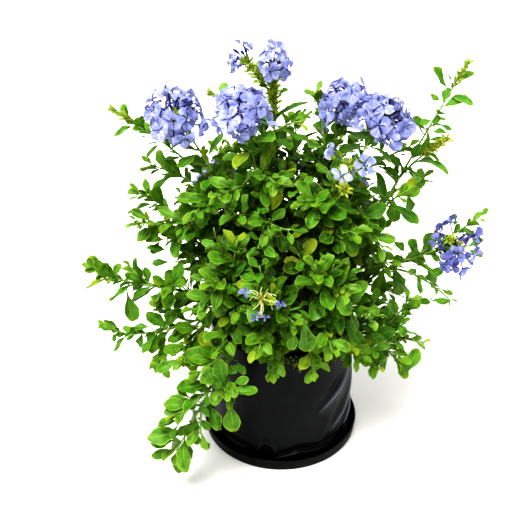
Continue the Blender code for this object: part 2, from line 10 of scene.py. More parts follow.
import functools
import itertools
from collections import namedtuple
from math import acos, atan2, cos, degrees, exp, floor, hypot, pi, radians, sin, sqrt, tan, tau
from random import Random

import bpy
import numpy as np
from bpy.types import NodeSocket, Operator, Panel, PropertyGroup
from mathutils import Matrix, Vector, noise
from mathutils.bvhtree import BVHTree


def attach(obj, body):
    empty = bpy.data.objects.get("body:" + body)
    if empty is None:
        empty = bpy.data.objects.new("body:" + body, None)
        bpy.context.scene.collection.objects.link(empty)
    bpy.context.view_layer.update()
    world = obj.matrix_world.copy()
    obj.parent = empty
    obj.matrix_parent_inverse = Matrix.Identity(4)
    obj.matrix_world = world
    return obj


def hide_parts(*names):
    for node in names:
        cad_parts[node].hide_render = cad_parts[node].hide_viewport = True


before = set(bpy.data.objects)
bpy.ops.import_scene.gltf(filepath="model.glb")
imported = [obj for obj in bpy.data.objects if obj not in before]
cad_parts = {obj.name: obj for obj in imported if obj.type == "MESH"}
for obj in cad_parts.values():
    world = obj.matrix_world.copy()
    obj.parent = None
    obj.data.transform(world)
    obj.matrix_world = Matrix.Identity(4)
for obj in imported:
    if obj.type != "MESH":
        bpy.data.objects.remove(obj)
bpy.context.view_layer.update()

bl_info = {
    "name": "Potted plumbago",
    "version": (1, 0, 0),
    "blender": (4, 5, 0),
    "location": "3D View > Sidebar > Plumbago",
    "description": "Dresses a packed potted plumbago with fine leaves, flowers, film bag and saucer",
    "category": "Add Mesh",
}

# Driving dimensions, the same as in the packed model
MM = 0.001
GAP = 0.3

SAUCER_RADIUS = 82.5
SAUCER_HEIGHT = 13.0
SAUCER_WALL = 2.2
SAUCER_FLARE = 3.0
SAUCER_FOOT_INSET = 4.0

BAG_RADIUS = 72.5
BAG_HEIGHT = 140.0
BAG_WALL = 1.5
BAG_INNER = BAG_RADIUS - BAG_WALL - 1.0
BAG_TUCK = 7.5
BAG_BULGE = 1.5
MIX_BELOW_RIM = 14.0
MIX_CROWN = 3.0

CANE_RADIUS = 2.2
SHOOT_RADIUS = 1.45
TIP_RADIUS = 1.15
CANE_DEPTH = 25.0
CANE_OUT = 0.30
CANE_UP = 0.66
CANE_ARCH = 0.12
SIDE_BEND = 0.45
SIDE_JOIN = 0.12
STEM_SIDES = 3
RING_SPACING = 42.0
STEM_CLEARANCE = 0.8
WANDER = 0.6
SHOOT_TRIES = 60

LEAF_LONGEST = 35.0
LEAF_YOUNGEST = 15.0
LEAF_GROWN_AT = 30.0
LEAF_THICKNESS = 1.2
LEAF_STEPS = (3, 7, 12, 18, 25, 33, 42, 52, 63, 75, 88, 102, 117)
LEAF_CLEARANCE = 0.4
LEAF_SIZES = (0.86, 1.08)
LEAF_LEAN = 32
LEAF_LEAN_GROWN = 34
LEAF_LEAN_SPREAD = 8
LEAF_OUTWARD = 0.25
LEAF_TRIES = 14
LEAF_TURN_STEP = 0.38
LEAF_SHRINK = 0.025
LOWEST_LEAF = 4.0
LEAVES_ON_MAIN = 9
LEAVES_ON_SIDE = 8
BARE_TIP = {"leaves": 0, "buds": 14, "calyces": 20}
BARE_UNDER_BLOOM = 12
LEAFY_SHARE_OF_MAIN = 0.62
LEAFY_SHARE_OF_SIDE = 0.86
BUSH_RADIUS = 90.0
GOLDEN_TURN = radians(137.5)

FLORET_RADIUS = 11.2
FLORET_REACH = 26.0
FLORET_THICKNESS = 1.4
FLORET_CLEARANCE = 0.25
FLORET_REACHES = (0.9, 1.12)
FLORET_TRIES = 70
FLORET_TURN_STEP = 0.09
FLORET_TILT_STEP = 0.012
FLORET_SHRINK = 0.005
LOBE_CLEFT = 0.42
LOBE_HALF_ANGLE = radians(19)
TUBE_RADIUS = 0.8
HUB_RADIUS = 3.4

BUDS = {"buds": 7, "calyces": 9}
BUD_LENGTH = 8.0
BUD_LENGTHS = (0.85, 1.15)
BUD_RADIUS = 1.2
BUD_FIRST = 1.5
BUD_SPACING = 3.2
BUD_LEAN = 28
BUD_LEAN_STEP = 3
CALYX_LEAN = 62

# Each cane: where it leaves the mix, the tip of its main shoot, its side shoots, each with the share of
# the main shoot where it starts, and what ends it. A shoot's size is that of its leaves. The points
# were chosen so that the rosettes cover the bush as in the photograph.
Cane = namedtuple("Cane", "name foot tip sides end via size", defaults=("leaves", (), 1.0))
Side = namedtuple("Side", "share tip size end", defaults=(1.0, "leaves"))
CANES = (
    Cane("cane_left_bloom", (-20, -2), (-100, -10, 368), (
        Side(0.52, (-160, 2, 374), 0.8, "buds"), Side(0.48, (-130, 28, 302)),
        Side(0.42, (-118, -25, 264)), Side(0.55, (-84, -52, 292))), "bloom_left"),
    Cane("cane_left", (-32, 4), (-142, 10, 282), (
        Side(0.55, (-140, -32, 272)), Side(0.45, (-126, 24, 230)), Side(0.3, (-94, 40, 182)))),
    Cane("cane_left_long", (-38, -10), (-184, -40, 228), (
        Side(0.6, (-150, -22, 214)),
        Side(0.45, (-104, -66, 224))), via=((-66, -18, 205), (-150, -34, 186))),
    Cane("cane_left_low", (-42, -24), (-176, -60, 172), (
        Side(0.6, (-118, -76, 136), 1.2), Side(0.45, (-122, -42, 186)),
        Side(0.3, (-88, -72, 160), 1.1),
        Side(0.38, (-95, -95, 154))), via=((-60, -34, 205), (-124, -60, 132)), size=0.85),
    Cane("cane_trailing", (-30, -36), (-105, -115, 60), (
        Side(0.4, (-57, -116, 137), 1.35), Side(0.62, (-104, -124, 112), 1.2),
        Side(0.7, (-80, -124, 88), 1.2),
        Side(0.34, (-82, -112, 152), 1.2)), via=((-36, -72, 206), (-76, -130, 128)), size=1.4),
    Cane("cane_front_left", (-22, -22), (-66, -100, 250), (
        Side(0.55, (-84, -84, 206)), Side(0.4, (-60, -108, 176)), Side(0.62, (-44, -84, 284)),
        Side(0.5, (-40, -108, 222)))),
    Cane("cane_front_bloom", (-8, -34), (-21, -118, 244), (
        Side(0.45, (-24, -122, 186)), Side(0.55, (10, -116, 214)),
        Side(0.26, (-10, -108, 148))), "bloom_front"),
    Cane("cane_front_right", (14, -38), (54, -108, 246), (
        Side(0.55, (84, -92, 204)), Side(0.42, (44, -118, 184)), Side(0.6, (26, -102, 270)),
        Side(0.26, (28, -110, 150)), Side(0.34, (74, -92, 156)))),
    Cane("cane_right_low", (40, -28), (140, -60, 150), (
        Side(0.45, (113, -74, 140), 1.15), Side(0.6, (122, -52, 200)),
        Side(0.32, (90, -84, 138), 1.1)), size=0.8),
    Cane("cane_right_bloom", (44, -8), (163, -25, 239), (
        Side(0.75, (190, -18, 272), 0.75), Side(0.6, (166, -40, 186), 0.62),
        Side(0.4, (112, -14, 178))), "bloom_far_right"),
    Cane("cane_right_tall", (34, 2), (164, 0, 420), (
        Side(0.62, (151, -12, 351), 0.85, "calyces"), Side(0.46, (108, -34, 304)),
        Side(0.54, (138, 14, 296), 0.8),
        Side(0.36, (100, 10, 238))), "buds", via=((92, 0, 263),), size=0.62),
    Cane("cane_right_bloom_outer", (24, -12), (88, -14, 366), (
        Side(0.62, (122, 20, 326)), Side(0.48, (92, -62, 262)),
        Side(0.35, (100, -46, 234))), "bloom_right_outer"),
    Cane("cane_right_bloom_inner", (18, 8), (57, 15, 367), (
        Side(0.66, (30, 40, 372)), Side(0.55, (74, 48, 318))), "bloom_right_inner"),
    Cane("cane_pale_bloom", (12, -20), (56, -56, 343), (
        Side(0.66, (16, -70, 318)), Side(0.52, (66, -76, 286)),
        Side(0.42, (14, -90, 240))), "bloom_pale"),
    Cane("cane_centre_bloom", (-10, -14), (-37, -34, 383), (
        Side(0.6, (-62, -64, 318)), Side(0.66, (-8, -62, 330)),
        Side(0.5, (-14, -84, 290))), "bloom_centre"),
    Cane("cane_top_bloom", (-6, 6), (-11, 20, 404), (
        Side(0.84, (-31, 24, 407), end="bloom_top_left"), Side(0.62, (-70, 30, 378), end="buds"),
        Side(0.7, (18, 2, 362)), Side(0.55, (-52, 24, 322))), "bloom_top_right"),
    Cane("cane_back_left", (-20, 26), (-66, 104, 236), (
        Side(0.55, (-104, 66, 244)), Side(0.4, (-74, 98, 190)),
        Side(0.58, (-64, 66, 300))), "bloom_back_left"),
    Cane("cane_back", (-4, 38), (-12, 118, 240), (
        Side(0.5, (14, 112, 186)), Side(0.6, (-22, 92, 296)), Side(0.34, (-34, 112, 156)))),
    Cane("cane_back_right", (22, 30), (68, 104, 234), (
        Side(0.52, (112, 62, 244)), Side(0.4, (80, 92, 188)),
        Side(0.6, (38, 98, 288))), "bloom_back_right"),
    Cane("cane_back_top", (6, 20), (14, 72, 330), (
        Side(0.6, (-34, 76, 322)), Side(0.55, (60, 82, 300)), Side(0.45, (0, 92, 262)))),
)

# Each flower head: its florets, the way it faces, their spread in degrees, their reach and size, and
# the share of the spread that is bare in its middle
Bloom = namedtuple("Bloom", "florets facing spread reach size bare", defaults=(FLORET_REACH, 1.0, 0.0))
BLOOMS = {
    "bloom_left": Bloom(12, (-0.1, -0.5, 0.9), 112, bare=0.14),
    "bloom_centre": Bloom(13, (-0.1, -0.4, 1.0), 112, 25.0),
    "bloom_top_left": Bloom(3, (-0.9, -0.2, 0.6), 60, 20.0, 0.9),
    "bloom_top_right": Bloom(4, (0.5, -0.3, 1.0), 70, 20.0),
    "bloom_right_inner": Bloom(11, (-0.5, -0.1, 1.0), 102, 25.0),
    "bloom_right_outer": Bloom(11, (0.5, -0.5, 0.8), 102, 25.0),
    "bloom_pale": Bloom(3, (-0.1, -0.9, 0.4), 88, 19.0, 0.95),
    "bloom_far_right": Bloom(8, (0.1, -0.5, 0.8), 110, 24.0, 0.95, 0.2),
    "bloom_front": Bloom(4, (0.1, -1.0, 0.1), 84, 20.0, 0.7),
    "bloom_back_left": Bloom(8, (-0.3, 0.8, 0.8), 96, 25.0),
    "bloom_back_right": Bloom(8, (0.3, 0.8, 0.8), 96, 25.0),
}

# Half width of a leaf along it, both as shares of its length, and where its rib is thickest
LEAF_OUTLINE = ((0.62, 0.20), (0.88, 0.16))
LEAF_SUNK = 0.4
LEAF_NECK = 2.5
LEAF_NECK_SIZE = 1.3
LEAF_RIB = 0.66
LEAF_FOLD = 0.35
LEAF_DROOP = 0.10

# The bag's pleats: the bearing of each at the rim and how far it leans round towards the foot
PLEATS = ((-18, -44), (2, -46), (22, -40), (120, -26), (98, -30))
PLEAT_DEPTH = 2.0
PLEAT_FADE = 30.0

# Where the mix ends, the cell of the grid that tells what stands where, and the space round a thing that
# only the scene shows
MIX_TOP = SAUCER_WALL + GAP + BAG_HEIGHT - MIX_BELOW_RIM
GRID_CELL = 24.0
FILL_CLEARANCE = 0.1

# Twigs and small leaves that only the scene shows, and the part of the bush that the twigs fill
TWIG_FIRST = 22.0
TWIG_SPACING = 7.5
TWIG_TRIES = 8
TWIG_DEPTH = 0.13
TWIGS_UP_TO = 78.0
TWIG_REACH = 0.93
TWIGGY_OUTSIDE = {"cane_right_low": 0.4}
TWIG_LENGTH = (18.0, 46.0)
TWIG_RADIUS = 0.75
TWIG_LEAN = (38, 72)
TWIG_TURN = 0.4
TWIG_OUTWARD = 0.45
TWIG_RISE = 0.6
TWIG_JOIN = 0.15
TWIG_LEAVES = (1.5, 5, 9, 14, 20, 27, 34)
TWIG_LEAF_YOUNG = (13, 18)
TWIG_LEAF_GAIN = (5, 13)
TWIG_GROWN_AT = 14
TWIG_LEAF_LEAN = 28
TWIG_LEAF_LEAN_GROWN = 38
CORE_CENTRE = (-3.0, -10.0, 224.0)
CORE_RADII = (119.0, 112.0, 128.0)
AXIL_FROM = 18.0
AXIL_TURN = 0.8
AXIL_SIZE = (0.38, 0.62)
AXIL_LEAN = (30, 55)
AXIL_STEP = 0.8
AXIL_AGES = (0.15, 0.6)
LEAF_ROLL = 0.4
# No leaf's tip stands further to the front than this, because the packed model ends there
FRONT_MOST = -146.5

# Fine leaves and stems: stations along and across a blade, as shares of its length and half width
LEAF_RUN = (0.0, 0.09, 0.20, 0.32, 0.45, 0.58, 0.70, 0.81, 0.90, 0.96, 0.992)
PETAL_RUN = (0.0, 0.14, 0.30, 0.46, 0.62, 0.76, 0.88, 0.965)
LEAF_ACROSS = (-1.0, -0.5, 0.0, 0.5, 1.0)
STALK_HALF = 0.02
# How leaves vary: width, widest place, bluntness, droop and twist in radians, fold and wave as shares
# of the width, depth of the notches, base and skew
LEAF_WIDTHS = (0.84, 1.14)
LEAF_PEAKS = (1.3, 1.85)
LEAF_BLUNTNESS = (0.44, 0.76)
LEAF_DROOPS = (-0.15, 0.75)
LEAF_DROOP_USUAL = 0.02
LEAF_TWIST = 0.35
LEAF_FOLDS = (0.06, 0.40)
LEAF_WAVES = (0.06, 0.26)
LEAF_NOTCHES = (0.02, 0.12)
LEAF_BASES = (1.3, 2.1)
LEAF_SKEW = 0.08
# The same for a petal's lobe
LOBE_HOLLOWS = (-0.8, 0.45)
LOBE_WAVES = (0.08, 0.34)
LOBE_TWIST = 0.22
LOBE_ROOT = 0.7
LOBE_PEAKS = (1.55, 2.0)
# How long fine leaves are against the solid ones, by cane or by shoot, and how dark and deep green they get,
# with painted shade that darkens the leaves deep in the bush
LEAF_SCALE = 0.98
SCALES = {"cane_trailing": 0.92, "cane_left_low": 0.92, "cane_right_low": 0.90, "cane_right_tall": 1.15,
          "cane_top_bloom side0": 0.62}
UNDER_SPIKE = 0.55
YELLOWED_SHARE = 0.07
YELLOWED = (0.4, 0.9)
# Painted shade: between these depths in the bush a leaf's tone goes to the darkest green, with this spread at
# random
DEEP_FROM, DEEP_TO = 0.12, 0.50
DEEP_SPREAD = (-0.12, 0.30)
STEM_STEP = 7.0
BARE_CANES = ("cane_trailing", "cane_right_tall")
SET_LEAF_UP = (0.0, -0.6, 0.8)
STALK_FROM = 1.0
STALK_RADII = (0.55, 0.45, 0.3)
TWIGLESS_CANES = ("cane_trailing", "cane_left_low")
FINE_TIP = 0.6
FINE_SHARE = 0.94
KNOT = 0.14
MAIN_AGE = 0.05
SIDE_AGE = 0.45
STEM, CALYX, LEAF, PETAL = 0, 1, 2, 2

# Leaves that stand out by themselves, in runs: first the shoot, then the base and the tip of each blade
SET_LEAVES = {
    "cane_left_long": (
        ("main", (-154, -34, 196, -150, -40, 161), (-171, -37, 205, -179, -41, 233),
         (-166, -37, 213, -159, -37, 228)),
        ("side0", (-133, -28, 201, -155, -33, 213), (-132, -28, 200, -135, -28, 218)),
        ("main", (-129, -30, 198, -150, -35, 189), (-123, -28, 192, -121, -31, 181),
         (-112, -26, 187, -114, -29, 169)),
    ),
    "cane_left_low": (
        ("main", (-163, -60, 164, -179, -63, 175), (-162, -59, 164, -168, -62, 152),
         (-129, -54, 165, -145, -59, 171), (-139, -56, 159, -144, -59, 141),
         (-123, -53, 160, -133, -58, 136), (-115, -51, 161, -106, -54, 188)),
        ("side3", (-99, -90, 155, -123, -98, 145), (-100, -75, 159, -112, -78, 160),
         (-95, -80, 157, -84, -86, 131), (-82, -95, 154, -92, -101, 132)),
        ("side2", (-76, -72, 148, -68, -80, 132), (-85, -72, 148, -101, -77, 145),
         (-75, -42, 164, -87, -46, 146)),
    ),
    "cane_trailing": (
        ("side0", (-55, -116, 134, -26, -122, 142), (-52, -116, 129, -48, -124, 90),
         (-57, -116, 137, -74, -116, 163)),
        ("main", (-69, -107, 127, -88, -111, 140)),
        ("side1", (-90, -115, 126, -101, -118, 139), (-92, -118, 116, -115, -123, 115),
         (-102, -124, 106, -122, -129, 105), (-102, -124, 100, -109, -127, 87)),
        ("main", (-107, -117, 74, -130, -121, 74), (-105, -115, 60, -131, -119, 55),
         (-105, -115, 60, -104, -117, 29), (-97, -117, 78, -93, -119, 50),
         (-85, -115, 105, -88, -120, 79), (-80, -113, 114, -69, -118, 129)),
        ("side0", (-57, -113, 139, -61, -115, 174), (-46, -89, 151, -37, -93, 137),
         (-57, -116, 137, -68, -122, 153), (-51, -116, 132, -53, -122, 117),
         (-50, -110, 140, -34, -114, 149)),
        ("side1", (-84, -113, 124, -92, -117, 111)),
        ("main", (-81, -112, 119, -72, -117, 105), (-89, -117, 97, -103, -121, 85)),
        ("side2", (-83, -117, 103, -71, -119, 89)),
        ("side1", (-75, -109, 128, -90, -114, 121)),
        ("main", (-67, -100, 144, -77, -106, 136)),
        ("side0", (-56, -102, 145, -44, -106, 158)),
        ("side1", (-86, -114, 120, -99, -117, 126)),
        ("main", (-69, -105, 134, -63, -112, 116), (-95, -117, 90, -83, -121, 73)),
        ("side3", (-67, -100, 153, -80, -104, 161), (-59, -89, 162, -66, -93, 186)),
    ),
    "cane_right_tall": (
        ("main", (147, 0, 396, 133, -3, 418), (144, 0, 376, 165, -5, 392),
         (139, 0, 364, 125, -4, 362), (140, 0, 367, 150, -3, 365)),
        ("side2", (105, 1, 284, 111, -5, 254)),
        ("main", (144, 0, 383, 133, -2, 390), (133, 0, 352, 119, -4, 369),
         (138, 0, 355, 142, -3, 370), (136, 0, 353, 151, -4, 354), (134, 0, 349, 132, -4, 330),
         (129, 0, 343, 120, -3, 327)),
        ("side0", (116, -1, 311, 129, -5, 305), (119, -1, 315, 137, -6, 296)),
        ("side2", (121, 5, 284, 126, 2, 257)),
        ("main", (111, 0, 304, 97, -4, 315), (115, 0, 313, 102, -3, 328)),
        ("side0", (134, -6, 334, 147, -10, 327)),
        ("main", (135, 0, 343, 148, -4, 348)),
    ),
    "cane_right_bloom": (
        ("main", (109, -17, 214, 120, -23, 180), (140, -21, 220, 157, -27, 194),
         (133, -21, 228, 122, -25, 248), (145, -22, 233, 134, -26, 251)),
        ("side1", (146, -34, 184, 164, -37, 183)),
        ("main", (105, -18, 244, 120, -23, 236), (99, -16, 217, 70, -24, 226),
         (100, -16, 213, 95, -21, 175), (87, -16, 231, 64, -24, 248)),
        ("side2", (134, -14, 170, 150, -16, 168)),
        ("main", (179, -25, 241, 191, -28, 252), (179, -25, 237, 194, -28, 231)),
    ),
    "cane_right_low": (
        ("side0", (123, -74, 125, 129, -78, 153)),
        ("side2", (93, -76, 144, 87, -80, 122)),
        ("side0", (113, -70, 146, 121, -75, 118)),
    ),
    "cane_front_left": (
        ("side1", (-62, -82, 197, -65, -86, 166), (-46, -92, 183, -53, -96, 155)),
    ),
    "cane_front_bloom": (
        ("side1", (17, -116, 221, 22, -120, 182)),
        ("side2", (-1, -84, 167, -4, -89, 142)),
        ("side1", (10, -116, 208, 5, -121, 186)),
    ),
    "cane_front_right": (
        ("side4", (46, -74, 181, 49, -78, 148), (58, -78, 189, 76, -82, 163)),
    ),
    "cane_left": (
        ("side1", (-119, 20, 220, -138, 16, 227), (-117, 19, 209, -137, 13, 215)),
        ("side2", (-117, 40, 181, -135, 35, 184)),
        ("side1", (-124, 22, 219, -133, 18, 205), (-114, 19, 224, -122, 16, 240)),
    ),
}

# Fine calyces: their ribs, the radius at each share of their length, their teeth and their sticky glands
CALYX_LENGTH = 10.0
CALYX_RIBS = 10
CALYX_PROFILE = ((0.0, 0.45), (0.12, 0.95), (0.5, 1.05), (0.82, 0.85))
CALYX_SIDE = 0.9
TOOTH_REACHES = (0.98, 1.08)
TOOTH_RADIUS = 1.15
GLAND_RADIUS = 1.9
SPENT_CALYX = 6.0
BARE_TUBES = 8
GLANDS = 9
FINE_STEM_SIDES = 7
FINE_TUBE_SIDES = 6
# Each fine head: its rolled-up corollas, its bare calyces and the length of its tubes
HEADS = {
    "bloom_left": (5, 9, 25.0), "bloom_centre": (6, 10, 26.0), "bloom_top_left": (7, 6, 21.0),
    "bloom_top_right": (4, 6, 20.0), "bloom_right_inner": (5, 8, 25.0), "bloom_right_outer": (5, 8, 25.0),
    "bloom_pale": (2, 8, 18.0), "bloom_far_right": (5, 12, 22.0), "bloom_front": (0, 9, 14.0),
    "bloom_back_left": (5, 8, 23.0), "bloom_back_right": (5, 8, 23.0),
}
# Heads that are withered, still in dark bud or worn, corollas that have paled, and narrower lobes
WITHERED = ("bloom_front",)
DARK_BUDS = ("bloom_top_left",)
TIRED = ("bloom_far_right",)
FADED = {("bloom_pale", 0): 0.85, ("bloom_pale", 1): 0.1, ("bloom_pale", 2): 0.1}
NARROW = {"bloom_pale": 0.86, "bloom_top_left": 0.8}
FILL_SHARES = {"bloom_front": 0, "bloom_pale": 0, "bloom_top_left": 0, "bloom_far_right": 0.5}
# Loose corollas of one head, which stand out beside its ball: their direction and reach
STRAYS = {
    "bloom_left": (((-0.20, 0.10, 1.00), 34.0), ((0.95, 0.00, 0.40), 34.0), ((-0.80, 0.00, 0.70), 33.0),
                   ((0.55, 0.10, 0.90), 33.0)),
    "bloom_centre": (((0.65, -0.10, 0.85), 34.0), ((-0.95, -0.20, 0.10), 33.0), ((-0.45, 0.10, 1.00), 33.0)),
    "bloom_right_inner": (((-0.85, -0.20, 0.55), 33.0), ((-0.20, 0.10, 1.00), 33.0)),
    "bloom_right_outer": (((0.85, -0.20, 0.60), 33.0), ((0.60, -0.40, -0.75), 32.0)),
    "bloom_far_right": (((-0.90, -0.45, 0.50), 33.0), ((-0.75, -0.60, 0.75), 30.0),
                        ((0.95, -0.35, 0.35), 27.0),
                        ((0.15, -0.75, -0.65), 27.0), ((0.75, -0.50, 0.75), 29.0)),
}
# Spent heads that stand beside a head on a stalk of their own: their place and number of calyces
TUFTS = {"bloom_pale": (((51, -78, 333), 24),), "bloom_far_right": (((158, -34, 254), 18),)}
TUFT_FROM = 0.7
STRAY_RADIUS = 8.5
FILL_REACHES = (0.66, 1.1)
FILL_SIZE = 0.95
FILL_SHRINK = 0.4
HEAD_SCALE = 0.93
FILL_SCALE = 1.12
NOD = 0.45
# How far below a head calyces line its shoot, their spacing, and how many stand beside each bud or calyx
SPIKE = 14
SPIKES = {"bloom_top_right": 62, "bloom_top_left": 20, "bloom_pale": 34}
SPIKE_STEP = 3
# How a corolla's lobes stand: the share of the corollas, the lift at the throat and the curl to the tip
POISES = (
    (0.70, (-0.05, 0.24), (0.05, 0.65)),
    (0.88, (-0.10, 0.10), (0.6, 1.3)),
    (1.0, (0.45, 0.9), (-0.1, 0.7)),
)
WORN_POISE = ((0.0, 1.1), (-0.4, 1.3))
BRISTLES = {"buds": 4, "calyces": 7}

# The fine saucer, and the fine film: its rows and steps, its foot and its creases
SAUCER_STEPS = 160
BAG_ROWS = 104
BAG_STEPS = 384
FILM_THICKNESS = 0.4
FILM_WAVE, FILM_RIPPLE = 0.7, 0.2
# Its rim waves in and up and down above this share of its height
RIM_WAVES_FROM = 0.88
RIM_WAVE_OUT, RIM_WAVE_UP = 1.1, 0.8
# The height at each bearing below which the film is tucked in
WALL_EDGE = ((-134, 7), (-107, 13), (-94, 12), (-75, 19), (-51, 14), (-20, 13), (20, 8), (90, 8), (150, 9),
             (226, 7))
WALL_EDGE_SHARPNESS = 5.0
# The turned-out hem at the front: its height at each bearing, its reach and its thickness
HEM = ((-101, 3.5), (-92, 4.5), (-75, 9.0), (-47, 6.0), (-24, 3.5))
HEM_REACH = 6.6
HEM_THICKNESS = 1.5
# The gathered pleat at the foot: its bearing, half width and height, and how far it stands out
GATHER_AT = -102.0
GATHER_HALF = 11.0
GATHER_HEIGHT = 29.0
GATHER_DEPTH = 4.0
GATHER_HOLLOW = 0.8 * GATHER_DEPTH
GATHER_CREST = 0.17
# The film's slanting folds: the bearing and height of both ends, how far it stands out, and its width
FOLDS = (
    (-20, 100, -60, 60, 3.6, 10.0), (2, 76, -47, 26, 3.2, 9.0), (8, 42, -31, 8, 2.6, 6.0),
    (-12, 46, -40, 14, 1.4, 5.0),
    (-112, 24, -150, 30, 1.2, 6.0), (-113, 12, -148, 14, 1.2, 5.0), (-132, 124, -176, 70, 0.9, 12.0),
    (24, 116, 74, 52, 1.5, 12.0), (52, 60, 88, 18, 1.3, 9.0), (136, 120, 92, 52, 1.2, 12.0),
    (152, 70, 108, 16, 1.3, 10.0), (206, 92, 160, 30, 1.0, 12.0),
)
# How sharp a fold is on its steep side, and where and how much a painted highlight pales the film along the
# crest of a deep fold and over its gentle side
STEEP_SIDE = 0.2
SHARP_FOLD = 2.0
CREST_OFF = -0.2
CREST_HALF = 1.5
FOLD_SIDE_HIGHLIGHT = 0.22
PLEAT_SHARPNESS = 6.0
MIX_TUCK = 31.0
LITTER_SCRAPS = 700
LITTER_AT = -50.0
LITTER_SPREAD = 20.0
LITTER_BELOW = 7.0
LITTER_OUT = (-1.5, 3.5)
LITTER_LENGTHS = (2.5, 7.0)
MIX_ROWS, MIX_STEPS = 34, 72

# Stage, in metres and degrees
CAMERA_AT = (-0.0266, -0.929, 0.808)
CAMERA_PITCH = 32.6
CAMERA_SENSOR = 36.0
FOCAL_PIXELS, FRAME_PIXELS = 1100, 512
LOOK_AT = (0.0, 0.0, 0.22)
# Painted shade on the floor round the plant fades out to white between these distances from the middle
FLOOR_SHADE_FADES_FROM, FLOOR_SHADE_FADES_TO = 0.12, 0.8
FLOOR_STEPS = 64
# Each lamp's place and the width of its square
LAMPS = {"key": ((-0.4, -0.7, 1.7), 0.9), "fill": ((1.7, -0.3, 0.7), 1.6), "rim": ((0.7, 1.2, 1.3), 0.9)}


# Growth, as in the packed model: the shoots, and the space that each piece leaves to the others

def bend(controls, share):
    """The point at this share of the smooth curve that the control points set."""
    points = list(controls)
    while len(points) > 1:
        points = [first.lerp(second, share) for first, second in zip(points, points[1:])]
    return points[0]


def heading(controls, share):
    """The curve's direction at this share of it."""
    return (bend(controls, min(1.0, share + 0.02)) - bend(controls, max(0.0, share - 0.02))).normalized()


def run_length(controls):
    """The curve's length."""
    points = [bend(controls, i / 20) for i in range(21)]
    return sum((second - first).length for first, second in zip(points, points[1:]))


def square_to(along, towards):
    """The unit vector square to along that leans most towards the other."""
    across = Vector(towards) - along * along.dot(Vector(towards))
    if across.length < 0.05:
        across = along.orthogonal()
    return across.normalized()


def around(across, other, angle):
    """The unit vector at this angle from across towards other."""
    return cos(angle) * across + sin(angle) * other


def aslant(along, across, other, lean, turn):
    """The unit vector that leans this far from along, towards the side that the turn gives."""
    return cos(lean) * along + sin(lean) * around(across, other, turn)


def axes(along):
    """Two unit vectors that are square to along and to each other."""
    across = along.orthogonal().normalized()
    return across, along.cross(across)


def clamped(value):
    """The value, kept between 0 and 1."""
    return max(0.0, min(1.0, value))


def tube(points, radii, sides=STEM_SIDES):
    """A closed tube through the points, with these radii."""
    points = [Vector(point) for point in points]
    along = (points[1] - points[0]).normalized()
    across = square_to(along, (1.0, 0.3, 0.0))
    made = []
    for i, (point, radius) in enumerate(zip(points, radii)):
        along = (points[min(i + 1, len(points) - 1)] - points[max(i - 1, 0)]).normalized()
        across = square_to(along, across)
        other = along.cross(across)
        made += [point + radius * around(across, other, tau * side / sides) for side in range(sides)]
    faces = []
    for low in range(0, len(made) - sides, sides):
        for side in range(sides):
            after = (side + 1) % sides
            faces.append((low + side, low + after, low + sides + after))
            faces.append((low + side, low + sides + after, low + sides + side))
    last = len(made) - sides
    for side in range(1, sides - 1):
        faces.append((0, side + 1, side))
        faces.append((last, last + side, last + side + 1))
    return made, faces


def box_of(points):
    """The lowest and the highest x, y and z of the points."""
    return [(min(values), max(values)) for values in zip(*points)]


class Space:
    """What stands where already, so that a new piece can be kept clear of it."""

    def __init__(self):
        self.cells = {}

    def reached(self, box):
        """The cells of a coarse grid that the box reaches into."""
        return itertools.product(*(
            range(floor(low / GRID_CELL), floor(high / GRID_CELL) + 1) for low, high in box))

    def fill(self, owner, piece):
        """Notes that the owner's piece stands here."""
        points, faces = piece
        box = box_of(points)
        entry = (owner, box, BVHTree.FromPolygons(points, faces))
        for cell in self.reached(box):
            self.cells.setdefault(cell, []).append(entry)

    def is_clear(self, piece, beside=()):
        """True where the piece meets nothing but its named neighbours."""
        points, faces = piece
        box = box_of(points)
        tree = BVHTree.FromPolygons(points, faces)
        met = {}
        for cell in self.reached(box):
            for entry in self.cells.get(cell, ()):
                met[id(entry)] = entry
        for owner, other_box, other_tree in met.values():
            apart = any(low > other_high or high < other_low
                        for (low, high), (other_low, other_high) in zip(box, other_box))
            if owner not in beside and not apart and tree.overlap(other_tree):
                return False
        return True


Shoot = namedtuple("Shoot", "cane label controls length radius end size", defaults=(1.0,))


def stem_point(shoot, share):
    """The point on the middle line of the shoot's straight-sided tube at this share of it."""
    steps = max(2, round(shoot.length / RING_SPACING))
    step = min(int(share * steps), steps - 1)
    low, high = (bend(shoot.controls, i / steps) for i in (step, step + 1))
    return low.lerp(high, share * steps - step)


def shoot_tube(shoot, extra=0.0, start=0.0):
    """The shoot's tube, thinner towards its tip."""
    steps = max(2, round(shoot.length / RING_SPACING))
    shares = [start] + [i / steps for i in range(steps + 1) if i / steps > start]
    points = [stem_point(shoot, share) for share in shares]
    radii = [extra + shoot.radius + (TIP_RADIUS - shoot.radius) * share for share in shares]
    return tube(points, radii)


def grow_shoot(space, draws, cane, label, controls, radius, end, size, beside, start):
    """The first version of the shoot, with its middle moved a little each time, that meets nothing."""
    for attempt in range(SHOOT_TRIES):
        wander = WANDER * attempt
        moved = [controls[0]] + [
            point + Vector([draws.uniform(-wander, wander) for _ in range(3)]) for point in controls[1:-1]
        ] + [controls[-1]]
        shoot = Shoot(cane, label, moved, run_length(moved), radius, end, size)
        if space.is_clear(shoot_tube(shoot, STEM_CLEARANCE, start), beside):
            break
    space.fill(cane + label, shoot_tube(shoot, GAP / 3))
    return shoot


